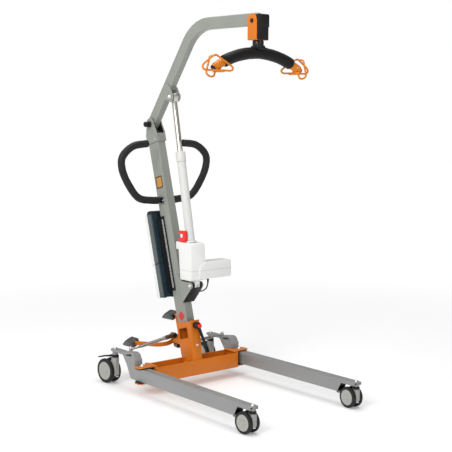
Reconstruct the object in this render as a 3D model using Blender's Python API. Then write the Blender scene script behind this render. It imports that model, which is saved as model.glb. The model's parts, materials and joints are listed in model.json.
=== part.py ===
"""Mobile patient lift: two spreading legs on castors, a raked mast with an electric
ram, a cranked boom and a padded sling bar.  Metres, +Z up, the front of the lift at -Y.

The drawing datum is the plane of symmetry X = 0, the floor Z = 0 and, along Y, the
foot of the mast.  Every object is moved by DATUM_SHIFT at the end, so that the floor
origin is under the middle of the lift.
"""
import math

import bmesh
import bpy
from mathutils import Matrix, Vector

# ---- driving dimensions -----------------------------------------------------------
GAP = 0.0003                # air between pieces that touch
DATUM_SHIFT = 0.2006        # drawing datum to the middle of the outline, along Y

# legs and base
LEG_X = 0.250               # leg pivot from the middle
LEG_Y = -0.018
LEG_W = 0.038
LEG_WALL = 0.003
LEG_Z0 = 0.0525
LEG_Z1 = 0.1025
TOE_OUT = math.radians(0.6)
NOSE_STEM_Y = -0.684        # front castor stem
TAIL_STEM_Y = 0.172         # rear castor stem
BASE_Y0 = -0.058
BASE_Y1 = 0.022
BASE_Z0 = 0.043
BASE_Z1 = 0.105
BASE_END = 0.210
PLATE = 0.004
EAR_TOP = 0.110
PIN_R = 0.007

WHEEL_SIDES = 24

# castors: radius, trail, half width outside and inside the twin wheels
FRONT_CASTOR = dict(radius=0.040, trail=0.026, outer=0.024, inner=0.0100,
                    top=0.084, plate=0.1025, column=(0.019, 0.024), yaw=3.8)
REAR_CASTOR = dict(radius=0.050, trail=0.041, outer=0.024, inner=0.0105,
                   top=0.120, plate=0.1455, column=(0.020, 0.027), yaw=5.0)

# mast
MAST_FOOT = Vector((0.0, 0.0116, 0.200))
MAST_RAKE = math.atan(0.278)
MAST_W = 0.037
MAST_D = 0.067
MAST_WALL = 0.003
MAST_S0 = 0.0394            # ends of the tube, along the mast from MAST_FOOT
MAST_S1 = 0.828
CLAMP_Z = 0.245
PEDAL_Z = 0.160

# boom
BOOM_PIVOT = Vector((0.0, 0.245, 1.047))
BOOM_RISE = math.radians(53.85)
BOOM_W = 0.030
BOOM_D = 0.046
BOOM_WALL = 0.003
BOOM_TOP = 1.4625           # top face of the level part
BOOM_END = -0.412
BOOM_BEND = 0.172           # bend radius of the centre line
BOOM_SET = 0.0057           # pivot below the tube's centre line
YOKE_BOLT = Vector((0.0, -0.400, 1.433))

# ram
RAM_FOOT = Vector((0.0, -0.038, 0.408))
RAM_HEAD = Vector((0.0, 0.110, 1.160))
RAM_PIN_R = 0.006

# push handle
HANDLE_Y = 0.168
HANDLE_BAR_R = 0.011
HANDLE_FOAM_R = 0.0152
HANDLE_BORE_R = 0.0114
HANDLE_LINE = ((0.0, 0.737), (0.070, 0.739), (0.136, 0.753), (0.186, 0.812),
               (0.214, 0.872), (0.211, 0.921), (0.161, 0.961), (0.091, 0.971))

# battery and control box behind the mast
BOX_W = 0.108
BOX_P0 = 0.046
BOX_P1 = 0.078
BOX_P2 = 0.100
BOX_S = (0.164, 0.304, 0.514)

# sling bar
BAR_Y = -0.402
BAR_Z = 1.317
BAR_R = 0.395               # radius of the arc
BAR_TUBE_R = 0.012
BAR_FOAM_R = 0.0220
BAR_FOAM_X = 0.165
BAR_END_X = 0.210
WIRE_R = 0.0036

# pedal that spreads the legs
PEDAL_TILT = math.radians(24.0)
BALL_R = 0.025
BALL_Y = 0.094
STUD = Vector((0.237, 0.080, 0.155))

MAST = (Matrix.Translation(MAST_FOOT) @ Matrix.Rotation(-MAST_RAKE, 4, 'X'))
RAM_LENGTH = (RAM_HEAD - RAM_FOOT).length
RAM_LEAN = math.atan2(RAM_HEAD.y - RAM_FOOT.y, RAM_HEAD.z - RAM_FOOT.z)
RAM = Matrix.Translation(RAM_FOOT) @ Matrix.Rotation(-RAM_LEAN, 4, 'X')


# ---- materials --------------------------------------------------------------------
PAINTS = {
    'grey_paint': ((0.33, 0.34, 0.31), 0.35, 0.0),
    'orange_paint': ((0.72, 0.20, 0.03), 0.35, 0.0),
    'black_plastic': ((0.015, 0.015, 0.016), 0.5, 0.0),
    'black_paint': ((0.018, 0.018, 0.019), 0.4, 0.0),
    'black_foam': ((0.012, 0.012, 0.013), 0.85, 0.0),
    'white_plastic': ((0.80, 0.80, 0.79), 0.4, 0.0),
    'dark_case': ((0.035, 0.045, 0.06), 0.3, 0.0),
    'red_plastic': ((0.65, 0.02, 0.02), 0.4, 0.0),
    'zinc': ((0.60, 0.60, 0.58), 0.35, 1.0),
    'chrome': ((0.80, 0.80, 0.80), 0.12, 1.0),
    'castor_grey': ((0.45, 0.45, 0.44), 0.45, 0.0),
    'tyre_black': ((0.02, 0.02, 0.02), 0.7, 0.0),
    'cable_black': ((0.02, 0.02, 0.02), 0.55, 0.0),
}


def paint(slot):
    """Return the material of a slot, made on first use."""
    mat = bpy.data.materials.get(slot)
    if mat is None:
        colour, rough, metal = PAINTS[slot]
        mat = bpy.data.materials.new(slot)
        mat.use_nodes = True
        shader = mat.node_tree.nodes['Principled BSDF']
        shader.inputs['Base Color'].default_value = (*colour, 1.0)
        shader.inputs['Roughness'].default_value = rough
        shader.inputs['Metallic'].default_value = metal
        mat.diffuse_color = (*colour, 1.0)
    return mat


# ---- solids -----------------------------------------------------------------------
def prism(points, axis, lo, hi):
    """Extrude an outline from lo to hi along an axis; points are the other two, in order."""
    place = {'X': lambda a, b, c: (c, a, b),
             'Y': lambda a, b, c: (a, c, b),
             'Z': lambda a, b, c: (a, b, c)}[axis]
    bm = bmesh.new()
    bottom = [bm.verts.new(place(a, b, lo)) for a, b in points]
    top = [bm.verts.new(place(a, b, hi)) for a, b in points]
    bm.faces.new(bottom)
    bm.faces.new(reversed(top))
    for i in range(len(points)):
        j = (i + 1) % len(points)
        bm.faces.new((bottom[i], top[i], top[j], bottom[j]))
    bmesh.ops.recalc_face_normals(bm, faces=bm.faces)
    return bm


def block(lo, hi):
    """Box between two corners."""
    outline = ((lo[0], lo[1]), (hi[0], lo[1]), (hi[0], hi[1]), (lo[0], hi[1]))
    return prism(outline, 'Z', lo[2], hi[2])


def turned(profile, base, axis, sides=16):
    """Solid of revolution; profile is (radius, distance along the axis), ends closed."""
    turn = Vector(axis).normalized().to_track_quat('Z', 'Y').to_matrix().to_4x4()
    frame = Matrix.Translation(Vector(base)) @ turn
    bm = bmesh.new()
    rings = []
    for radius, along in profile:
        ring = []
        for i in range(sides):
            angle = 2.0 * math.pi * (i + 0.5) / sides
            spot = Vector((radius * math.cos(angle), radius * math.sin(angle), along))
            ring.append(bm.verts.new(frame @ spot))
        rings.append(ring)
    for near, far in zip(rings, rings[1:]):
        for i in range(sides):
            j = (i + 1) % sides
            bm.faces.new((near[i], near[j], far[j], far[i]))
    bm.faces.new(reversed(rings[0]))
    bm.faces.new(rings[-1])
    bmesh.ops.recalc_face_normals(bm, faces=bm.faces)
    return bm


def rod(start, end, radius, sides=12):
    """Plain cylinder between two points."""
    start = Vector(start)
    axis = Vector(end) - start
    return turned(((radius, 0.0), (radius, axis.length)), start, axis, sides)


def ring_section(radius, sides):
    """Round section for a sweep."""
    angles = [2.0 * math.pi * (i + 0.5) / sides for i in range(sides)]
    return [(radius * math.cos(a), radius * math.sin(a)) for a in angles]


def flat_section(width, height):
    """Rectangular section for a sweep: width across the plane of the path."""
    w, h = width / 2.0, height / 2.0
    return [(w, h), (-w, h), (-w, -h), (w, -h)]


def swept(path, section, side, bore=None):
    """Sweep a section along a path.  side is the direction of the section's first axis.

    With a bore (a second section with as many points) the result is an open tube.
    """
    path = [Vector(p) for p in path]
    bm = bmesh.new()
    outer, inner = [], []
    for i, spot in enumerate(path):
        before = path[max(i - 1, 0)]
        after = path[min(i + 1, len(path) - 1)]
        ahead = (after - before).normalized()
        stretch = 1.0
        if 0 < i < len(path) - 1:
            stretch = 1.0 / max(0.3, ahead.dot((after - spot).normalized()))
        across = (Vector(side) - ahead * ahead.dot(Vector(side))).normalized()
        up = ahead.cross(across)
        outer.append([bm.verts.new(spot + across * a + up * b * stretch)
                      for a, b in section])
        if bore:
            inner.append([bm.verts.new(spot + across * a + up * b * stretch)
                          for a, b in bore])
    skins = [(outer, len(section))]
    if bore:
        skins.append((inner, len(bore)))
    for rings, count in skins:
        for near, far in zip(rings, rings[1:]):
            for i in range(count):
                j = (i + 1) % count
                bm.faces.new((near[i], near[j], far[j], far[i]))
    for index in (0, -1):
        if bore:
            for i in range(len(section)):
                j = (i + 1) % len(section)
                bm.faces.new((outer[index][i], outer[index][j],
                              inner[index][j], inner[index][i]))
        else:
            bm.faces.new(outer[index])
    bmesh.ops.recalc_face_normals(bm, faces=bm.faces)
    return bm


def moved(bm, matrix):
    """Carry a solid by a matrix."""
    bm.transform(matrix)
    if matrix.determinant() < 0.0:
        bmesh.ops.reverse_faces(bm, faces=bm.faces)
    return bm


def mirrored(bm):
    """Copy of a solid on the other side of X = 0."""
    twin = bm.copy()
    return moved(twin, Matrix.Scale(-1.0, 4, (1.0, 0.0, 0.0)))


def both_sides(bm):
    """A solid and its mirror image."""
    return [bm, mirrored(bm)]


def arc(centre, radius, start, end, steps):
    """Points on an arc, angles in degrees."""
    points = []
    for i in range(steps + 1):
        angle = math.radians(start + (end - start) * i / steps)
        points.append((centre[0] + radius * math.cos(angle),
                       centre[1] + radius * math.sin(angle)))
    return points


def smooth_line(points, steps):
    """Curve through points (Catmull-Rom), straight at both ends."""
    points = [Vector(p) for p in points]
    ends = [points[0] * 2.0 - points[1]] + points + [points[-1] * 2.0 - points[-2]]
    line = []
    for a, b, c, d in zip(ends, ends[1:], ends[2:], ends[3:]):
        for i in range(steps):
            t = i / steps
            spot = 0.5 * (2.0 * b + (c - a) * t + (2.0 * a - 5.0 * b + 4.0 * c - d) * t * t
                          + (3.0 * b - a - 3.0 * c + d) * t ** 3)
            line.append(spot)
    line.append(points[-1])
    return line


def helper(bm, number):
    """Temporary object that carries one solid of a boolean."""
    mesh = bpy.data.meshes.new('helper')
    bm.to_mesh(mesh)
    bm.free()
    obj = bpy.data.objects.new('helper_%d' % number, mesh)
    bpy.context.scene.collection.objects.link(obj)
    return obj


def piece(name, slot, solids, cuts=(), frame=None, origin=(0.0, 0.0, 0.0),
          adds=(), drills=()):
    """One named part: the union of solids less the cuts, then adds and drills.

    frame carries the solids from their own drawing to the lift; origin is the point of
    that drawing where the object's origin (a joint axis, if it moves) is put.
    """
    base = helper(solids[0], 0)
    tools = [base]
    jobs = [(bm, 'UNION') for bm in solids[1:]] + [(bm, 'DIFFERENCE') for bm in cuts]
    jobs += [(bm, 'UNION') for bm in adds] + [(bm, 'DIFFERENCE') for bm in drills]
    for number, (bm, operation) in enumerate(jobs, 1):
        tool = helper(bm, number)
        tools.append(tool)
        mod = base.modifiers.new('step_%d' % number, 'BOOLEAN')
        mod.operation = operation
        mod.solver = 'EXACT'
        mod.object = tool
    graph = bpy.context.evaluated_depsgraph_get()
    mesh = bpy.data.meshes.new_from_object(base.evaluated_get(graph))
    for tool in tools:
        bpy.data.meshes.remove(tool.data)
    mesh.transform(Matrix.Translation(-Vector(origin)))
    mesh.name = name
    mesh.materials.clear()
    mesh.materials.append(paint(slot))
    for face in mesh.polygons:
        face.use_smooth = True
        face.material_index = 0
    mesh.set_sharp_from_angle(angle=math.radians(32.0))
    obj = bpy.data.objects.new(name, mesh)
    frame = frame or Matrix.Identity(4)
    obj.matrix_world = frame @ Matrix.Translation(Vector(origin))
    bpy.context.scene.collection.objects.link(obj)
    return obj


# ---- base -------------------------------------------------------------------------
def ear_outline(side):
    """Plan of one ear, with the leg pivot near its tip."""
    outline = [(0.196, -0.054), (0.230, -0.045), (0.272, -0.045), (0.281, -0.036),
               (0.281, -0.012), (0.272, -0.003), (0.222, -0.003), (0.2095, 0.018),
               (0.196, 0.018)]
    return [(side * x, y) for x, y in outline]


def build_base_channel():
    u = [(BASE_Y0, BASE_Z0), (BASE_Y1, BASE_Z0), (BASE_Y1, BASE_Z1),
         (BASE_Y1 - PLATE, BASE_Z1), (BASE_Y1 - PLATE, BASE_Z0 + PLATE),
         (BASE_Y0 + PLATE, BASE_Z0 + PLATE), (BASE_Y0 + PLATE, BASE_Z1),
         (BASE_Y0, BASE_Z1)]
    solids = [prism(u, 'X', -BASE_END, BASE_END)]
    cuts = []
    for side in (-1.0, 1.0):
        x0, x1 = sorted((side * (BASE_END - PLATE), side * BASE_END))
        solids.append(block((x0, BASE_Y0, BASE_Z0), (x1, BASE_Y1, EAR_TOP - 0.001)))
        solids.append(prism(ear_outline(side), 'Z', EAR_TOP - PLATE, EAR_TOP))
        solids.append(prism(ear_outline(side), 'Z', BASE_Z0, BASE_Z0 + PLATE))
        cuts.append(rod((side * LEG_X, LEG_Y, 0.03), (side * LEG_X, LEG_Y, 0.13),
                        PIN_R + GAP))
    return piece('base_channel', 'orange_paint', solids, cuts)


def socket_front(z):
    """Front face of the mast socket at a height."""
    return -0.0535 + max(0.0, z - 0.1055) * 0.1353


def mast_rear(z):
    """Rear face of the mast at a height."""
    return MAST_FOOT.y + (z - MAST_FOOT.z) * 0.278 + MAST_D / 2.0 / math.cos(MAST_RAKE)


def build_mast_socket():
    inner = MAST_W / 2.0 + GAP
    outer = inner + PLATE
    floor = BASE_Z0 + PLATE + GAP
    lip = BASE_Z1 + GAP
    rear = 0.0045
    side = [(-0.0535, floor), (0.0175, floor), (0.0175, lip),
            (mast_rear(lip) + rear, lip), (mast_rear(0.240) + rear, 0.240),
            (socket_front(0.262), 0.262), (-0.0535, 0.1055)]
    front = [(-0.0535, floor), (-0.0495, floor), (-0.0495, lip),
             (socket_front(0.264) + PLATE, 0.264), (socket_front(0.264), 0.264),
             (-0.0535, 0.1055)]
    back = [(mast_rear(lip) + 0.0004, lip), (mast_rear(lip) + rear, lip),
            (mast_rear(0.266) + rear, 0.266), (mast_rear(0.266) + 0.0004, 0.266)]
    solids = both_sides(prism(side, 'X', inner, outer))
    solids.append(prism(front, 'X', -outer, outer))
    solids.append(prism(back, 'X', -outer, outer))
    shelf = block((-inner - 0.001, -0.0330, 0.0345), (inner + 0.001, 0.0340, 0.0391))
    solids.append(moved(shelf, MAST))
    spigot = block((-0.0150, -0.0298, 0.036), (0.0150, 0.0298, 0.125))
    solids.append(moved(spigot, MAST))
    panel = block((-outer - 0.0008, -0.026, -0.078), (-outer + 0.001, 0.026, -0.020))
    solids.append(moved(panel, MAST))
    rib = [(0.022, floor), (0.070, floor), (0.070, 0.085), (0.022, 0.112)]
    solids += both_sides(prism(rib, 'Y', -0.030, -0.026))
    stud_wall = mast_rear(PEDAL_Z) + 0.002
    solids.append(rod((0, stud_wall, PEDAL_Z), (0, 0.0647, PEDAL_Z), 0.0125))
    solids.append(rod((0, stud_wall, PEDAL_Z), (0, 0.1140, PEDAL_Z), 0.0077))
    solids.append(rod((0, 0.1103, PEDAL_Z), (0, 0.1145, PEDAL_Z), 0.0100))
    solids.append(rod((0, -0.0495, 0.165), (0, -0.0440, 0.165), 0.0055))
    window = block((-outer - 0.002, -0.028, -0.016), (-inner + 0.002, 0.028, 0.026))
    cuts = [moved(window, MAST)]
    core = block((-0.0125, -0.0268, 0.045), (0.0125, 0.0268, 0.130))
    cuts.append(moved(core, MAST))
    cuts.append(rod((0, -0.060, CLAMP_Z), (0, -0.020, CLAMP_Z), 0.0043))
    return piece('mast_socket', 'orange_paint', solids, cuts)


def build_leg_pivots():
    for side, word in ((1.0, 'left'), (-1.0, 'right')):
        spot = Vector((side * LEG_X, LEG_Y, 0.0))
        pin = [(0.010, 0.0345), (0.010, 0.0427), (PIN_R, 0.0427), (PIN_R, EAR_TOP + GAP),
               (0.011, EAR_TOP + GAP), (0.011, 0.1160), (0.008, 0.1185)]
        piece('leg_pin_' + word, 'zinc', [turned(pin, spot, (0, 0, 1))])
        bush = [(0.021, 0.0473), (0.021, 0.0522), (0.0104, 0.0522), (0.0104, 0.1028),
                (0.021, 0.1028), (0.021, 0.1057)]
        bore = rod(spot + Vector((0, 0, 0.03)), spot + Vector((0, 0, 0.12)), PIN_R + GAP)
        piece('leg_bush_' + word, 'black_plastic', [turned(bush, spot, (0, 0, 1))],
              [bore])


# ---- legs and castors -------------------------------------------------------------
def leg_frame(side):
    """Where a leg stands: side is +1 for the lift's left, -1 for its right."""
    return (Matrix.Translation((side * LEG_X, LEG_Y, 0.0))
            @ Matrix.Rotation(side * TOE_OUT, 4, 'Z'))


def build_leg(side, word):
    """Leg drawn round its own pivot: x across, y along the lift, z up from the floor."""
    w = LEG_W / 2.0
    inner = w - LEG_WALL

    def rel(outline):
        return [(y - LEG_Y, z) for y, z in outline]

    body = [(0.036, LEG_Z0), (0.060, 0.0985), (0.086, 0.130), (0.092, 0.137),
            (0.150, 0.1375), (0.150, 0.1455), (0.100, 0.1455), (0.080, 0.1500),
            (0.034, 0.1560), (0.020, 0.1500), (0.006, 0.129), (0.006, LEG_Z1),
            (-0.630, LEG_Z1), (-0.604, LEG_Z0)]
    tube = prism(rel(body), 'X', -w, w)
    tail_y = TAIL_STEM_Y - LEG_Y
    tail = [(-w, 0.120)] + arc((0.0, tail_y), w, 0, 180, 8)[::-1] + [(w, 0.120)]
    tail = prism(tail, 'Z', 0.1375, 0.1455)
    nose_y = NOSE_STEM_Y - LEG_Y
    plan = arc((0.0, nose_y), w, 180, 360, 8) + [(w, -0.560), (-w, -0.560)]
    nose = prism(plan, 'Z', 0.0885, LEG_Z1)
    solids = [tube, tail, nose]
    solids.append(rod((0, tail_y, 0.1205), (0, tail_y, 0.1400), 0.0120))
    lip = prism(rel([(-0.612, 0.0465), (-0.604, 0.0465), (-0.600, 0.0530),
                     (-0.615, 0.0530)]), 'X', -w, w)
    solids.append(lip)
    stud_x = -side * (LEG_X - STUD.x)
    stud_y = STUD.y - LEG_Y
    solids.append(rod((stud_x, stud_y, 0.145), (stud_x, stud_y, 0.1630), 0.0040))
    solids.append(rod((stud_x, stud_y, 0.1600), (stud_x, stud_y, 0.1630), 0.0062))
    bore = prism(rel([(-0.720, LEG_Z0 + LEG_WALL), (-0.720, LEG_Z1 - LEG_WALL),
                      (-0.006, LEG_Z1 - LEG_WALL), (-0.002, 0.0560),
                      (-0.002, LEG_Z0 + LEG_WALL)]), 'X', -inner, inner)
    slot = prism(rel([(0.030, 0.1420), (0.030, 0.1480), (0.070, 0.1430), (0.070, 0.1380)]),
                 'X', -w - 0.01, w + 0.01)
    hollow_plan = arc((0.0, nose_y), inner, 180, 360, 8)
    hollow_plan += [(inner, -0.600), (-inner, -0.600)]
    hollow = prism(hollow_plan, 'Z', 0.0800, LEG_Z1 - LEG_WALL)
    cuts = [bore, slot]
    cuts.append(rod((0, 0, 0.04), (0, 0, 0.12), 0.0112))
    boss = rod((0, nose_y, 0.0845), (0, nose_y, 0.1000), 0.0120)
    drills = [rod((0, nose_y, 0.07), (0, nose_y, 0.12), 0.0063),
              rod((0, tail_y, 0.11), (0, tail_y, 0.16), 0.0063)]
    piece('leg_' + word, 'grey_paint', solids, cuts + [hollow], leg_frame(side),
          adds=[boss], drills=drills)


def build_castor(side, stem_y, spec, end, word):
    """Twin-wheel castor, drawn round its stem: x across, +y towards the wheels."""
    frame = leg_frame(side) @ Matrix.Translation((0.0, stem_y - LEG_Y, 0.0))
    yaw = math.radians(spec['yaw']) * side
    frame = frame @ Matrix.Rotation(-yaw, 4, 'Z')
    radius, trail = spec['radius'], spec['trail']
    top, plate = spec['top'], spec['plate']
    width, depth = spec['column']
    axle = Vector((0.0, trail, radius))
    column = prism([(-width / 2, -depth / 2 + 0.004), (-width / 2 + 0.004, -depth / 2),
                    (width / 2 - 0.004, -depth / 2), (width / 2, -depth / 2 + 0.004),
                    (width / 2, depth / 2), (-width / 2, depth / 2)],
                   'Z', 0.55 * radius, top - 0.004)
    half = spec['inner'] - 0.0008
    web = [(-depth / 2 + 0.002, 0.55 * radius), (trail * 0.6, 0.55 * radius),
           (trail + 0.011, radius - 0.008), (trail + 0.011, radius + 0.006),
           (depth / 2, 2.0 * radius - 0.004), (depth / 2, top - 0.004),
           (-depth / 2 + 0.002, top - 0.004)]
    collar_r = depth / 2 + 0.001
    solids = [column, prism(web, 'X', -half, half)]
    solids.append(rod((0, 0, top - 0.008), (0, 0, top), collar_r))
    solids.append(rod((0, 0, top - 0.004), (0, 0, plate + 0.0050), 0.0060))
    solids.append(rod((0, 0, plate + GAP), (0, 0, plate + 0.0065), 0.0098, 12))
    hole = rod(axle - Vector((0.03, 0, 0)), axle + Vector((0.03, 0, 0)), 0.0043)
    piece('castor_fork_%s_%s' % (end, word), 'castor_grey', solids, [hole], frame)

    inner, outer = spec['inner'], spec['outer']
    full = radius / math.cos(math.pi / WHEEL_SIDES)
    wheel = [(full - 0.003, inner), (full, inner + 0.0030), (full, outer - 0.0040),
             (full - 0.004, outer)]
    right = turned(wheel, axle, (1, 0, 0), WHEEL_SIDES)
    reach = Vector((outer - 0.002, 0, 0))
    solids = [rod(axle - reach, axle + reach, 0.0040, 12)]
    solids += [right, moved(right.copy(), Matrix.Scale(-1.0, 4, (1, 0, 0)))]
    piece('castor_wheels_%s_%s' % (end, word), 'tyre_black', solids, (), frame, axle)
    return frame, spec


def build_brake_pedal(frame, word):
    """Foot blade over a rear castor, hinged on the housing."""
    hinge = Vector((0.0, 0.021, 0.1150))
    blade = [(0.0165, 0.1105), (0.022, 0.1095), (0.052, 0.1050), (0.088, 0.0960),
             (0.096, 0.0950), (0.097, 0.0985), (0.090, 0.1010), (0.050, 0.1105),
             (0.024, 0.1185), (0.0165, 0.1185)]
    solids = [prism(blade, 'X', -0.0095, 0.0095)]
    tip = [(0.078, 0.0988), (0.096, 0.0950), (0.097, 0.0985), (0.080, 0.1035)]
    solids.append(prism(tip, 'X', -0.0160, 0.0160))
    piece('brake_pedal_' + word, 'black_plastic', solids, (), frame, hinge)


# ---- mast -------------------------------------------------------------------------
def build_mast():
    w, d = MAST_W / 2.0, MAST_D / 2.0
    tube = block((-w, -d, MAST_S0), (w, d, MAST_S1))
    bore = block((-w + MAST_WALL, -d + MAST_WALL, MAST_S0 - 0.01),
                 (w - MAST_WALL, d - MAST_WALL, MAST_S1 + 0.01))
    to_mast = MAST.inverted()
    sleeve = to_mast @ Vector((0.0, HANDLE_Y, HANDLE_LINE[0][1]))
    hole = rod(sleeve - Vector((0.05, 0, 0)), sleeve + Vector((0.05, 0, 0)), 0.0144)
    piece('mast_tube', 'grey_paint', [tube], [bore, hole], MAST, (0, 0, MAST_S0))

    pivot = to_mast @ BOOM_PIVOT
    inner, outer = w + GAP, w + GAP + PLATE
    cheek = [(-0.0375, 0.800), (0.0375, 0.800), (0.0375, 0.840)]
    cheek += arc((pivot.y, pivot.z), 0.026, -8, 188, 14)
    cheek += [(-0.0375, 0.840)]
    solids = both_sides(prism(cheek, 'X', inner, outer))
    solids.append(block((-outer, -0.0375, 0.800), (outer, -d - GAP, 0.834)))
    solids.append(block((-outer, d + GAP, 0.800), (outer, 0.0375, 0.834)))
    hole = rod(pivot - Vector((0.05, 0, 0)), pivot + Vector((0.05, 0, 0)), 0.0053)
    piece('mast_head', 'grey_paint', solids, [hole], MAST, pivot)

    slide = BOOM_W / 2.0 + GAP
    x = w
    liner = [(-0.0332, MAST_S1 + GAP), (0.0332, MAST_S1 + GAP), (0.0332, 0.842)]
    liner += arc((pivot.y, pivot.z), 0.0235, -5, 185, 12)
    liner += [(-0.0332, 0.842)]
    solids = [prism(liner, 'X', -x, x)]
    room = block((-slide, -0.08, 0.841), (slide, 0.08, 0.96))
    swing = rod(pivot - Vector((slide, 0, 0)), pivot + Vector((slide, 0, 0)), 0.0262)
    hole = rod(pivot - Vector((0.05, 0, 0)), pivot + Vector((0.05, 0, 0)), 0.0053)
    piece('head_insert', 'black_plastic', solids, [room, swing, hole], MAST, pivot)


def build_boom_knob():
    x = MAST_W / 2.0 + GAP + PLATE
    pin = [(0.0050, -x - 0.001), (0.0050, x + GAP), (0.0085, x + GAP), (0.0085, x + 0.0070)]
    knob = [(0.0085, -x - 0.0270), (0.0105, -x - 0.0250), (0.0105, -x - 0.0080),
            (0.0125, -x - 0.0070), (0.0125, -x - GAP)]
    solids = [turned(pin, BOOM_PIVOT, (1, 0, 0)), turned(knob, BOOM_PIVOT, (1, 0, 0))]
    piece('boom_knob', 'black_plastic', solids, (), None, BOOM_PIVOT)


def handle_path(side, steps=2):
    """Centre line of one half of the push handle, from the mast outwards."""
    line = smooth_line([(side * x, HANDLE_Y, z) for x, z in HANDLE_LINE], steps)
    return line


def build_handle():
    left = handle_path(1.0)
    right = handle_path(-1.0)
    bar = list(reversed(right))[:-1] + left
    solid = swept(bar, ring_section(HANDLE_BAR_R, 10), (0, 1, 0))
    piece('handle_bar', 'black_paint', [solid])
    for side, word in ((1.0, 'left'), (-1.0, 'right')):
        line = [p for p in handle_path(side) if abs(p.x) > 0.0365]
        start = Vector((side * 0.0365, HANDLE_Y, 0.7375))
        end_run = (line[-1] - line[-2]).normalized()
        foam = [start] + line + [line[-1] + end_run * 0.003]
        bore = [start - Vector((side * 0.01, 0, 0))] + line + [line[-1] + end_run * 0.0005]
        outer = swept(foam, ring_section(HANDLE_FOAM_R, 14), (0, 1, 0))
        inner = swept(bore, ring_section(HANDLE_BORE_R + 0.0006, 10), (0, 1, 0))
        piece('handle_grip_' + word, 'black_foam', [outer], [inner])
    x = MAST_W / 2.0 + GAP
    z = HANDLE_LINE[0][1]
    solids = [rod((-x - 0.003, HANDLE_Y, z), (x + 0.003, HANDLE_Y, z), 0.0137)]
    for lo, hi in ((-x - 0.003, -x), (x, x + 0.003)):
        solids.append(block((lo, HANDLE_Y - 0.017, z - 0.0140),
                            (hi, HANDLE_Y + 0.017, z + 0.0140)))
    hole = rod((-0.05, HANDLE_Y, z), (0.05, HANDLE_Y, z), HANDLE_BAR_R + 0.0008)
    piece('handle_sleeve', 'zinc', solids, [hole])


def build_ram_bracket():
    plate_y = -0.0378
    solids = [moved(block((-0.0290, plate_y, 0.138), (0.0290, -0.0338, 0.245)), MAST)]
    cheek = [(0.0110, 0.332), (0.0400, 0.436), (0.0200, 0.4200), (-0.0380, 0.4215)]
    cheek += arc((RAM_FOOT.y, RAM_FOOT.z), 0.0135, 100, 235, 8)
    solids += both_sides(prism(cheek, 'X', 0.0250, 0.0290))
    hole = rod(RAM_FOOT - Vector((0.05, 0, 0)), RAM_FOOT + Vector((0.05, 0, 0)),
               RAM_PIN_R + GAP)
    piece('actuator_bracket', 'grey_paint', solids, [hole])
    wedge = [(-0.0381, 0.150), (-0.0381, 0.218), (-0.0600, 0.195)]
    piece('bracket_wedge', 'black_plastic', [prism(wedge, 'X', -0.0247, 0.0247)], (), MAST)
    pin = [(0.0095, -0.0340), (0.0095, -0.0293), (RAM_PIN_R, -0.0293), (RAM_PIN_R, 0.0293),
           (0.0095, 0.0293), (0.0095, 0.0340)]
    piece('actuator_lower_pin', 'zinc', [turned(pin, RAM_FOOT, (1, 0, 0))])


def build_box():
    x = BOX_W / 2.0
    s0, s1, s2 = BOX_S
    rail = block((-0.0300, MAST_D / 2.0 + GAP, s0 + 0.02), (0.0300, BOX_P0 - GAP, s2 - 0.02))
    near = MAST_W / 2.0 + GAP
    flange = block((near, 0.0075, s0 + 0.02), (near + 0.0026, 0.0400, s2 - 0.02))
    piece('box_rail', 'black_plastic', [rail] + both_sides(flange), (), MAST)
    for word, lo, hi in (('control', s0, s1 - GAP), ('battery', s1, s2)):
        case = block((-x, BOX_P0, lo), (x, BOX_P1 - GAP, hi))
        piece(word + '_case', 'dark_case', [case], (), MAST, (0, BOX_P0, lo))
        chamfer_lo = 0.010 if word == 'control' else 0.0
        chamfer_hi = 0.012 if word == 'battery' else 0.0
        outline = [(BOX_P1, lo), (BOX_P2 - chamfer_lo, lo), (BOX_P2, lo + chamfer_lo),
                   (BOX_P2, hi - chamfer_hi), (BOX_P2 - chamfer_hi, hi), (BOX_P1, hi)]
        outline = [p for i, p in enumerate(outline) if p != outline[i - 1]]
        cuts = []
        if word == 'control':
            cuts.append(rod((0.025, BOX_P2 - 0.012, 0.270), (0.025, BOX_P2 + 0.01, 0.270),
                            0.0056))
        piece(word + '_cover', 'white_plastic', [prism(outline, 'X', -x, x)], cuts, MAST,
              (0, BOX_P1, lo))
    button = [(0.0053, -0.0065), (0.0053, 0.0045), (0.0105, 0.0045), (0.0120, 0.0070),
              (0.0110, 0.0115), (0.0060, 0.0130)]
    spot = (0.025, BOX_P2, 0.270)
    piece('stop_button', 'red_plastic', [turned(button, spot, (0, 1, 0))], (), MAST,
          spot)


# ---- boom -------------------------------------------------------------------------
def boom_path():
    """Centre line of the boom: a raked run, a bend and a level run."""
    run = Vector((0.0, -math.cos(BOOM_RISE), math.sin(BOOM_RISE)))
    out = Vector((0.0, math.sin(BOOM_RISE), math.cos(BOOM_RISE)))
    foot = BOOM_PIVOT + out * BOOM_SET
    level = BOOM_TOP - BOOM_D / 2.0
    turn = BOOM_RISE
    tangent = BOOM_BEND * math.tan(turn / 2.0)
    knee_along = (level - foot.z) / run.z
    knee = foot + run * knee_along
    start = knee - run * tangent
    centre = start - out * BOOM_BEND
    path = [foot - run * 0.018]
    steps = 10
    for i in range(steps + 1):
        angle = turn * i / steps
        path.append(centre + Matrix.Rotation(angle, 3, 'X') @ (out * BOOM_BEND))
    path.append(Vector((0.0, BOOM_END, level)))
    return path, run, out


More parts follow.
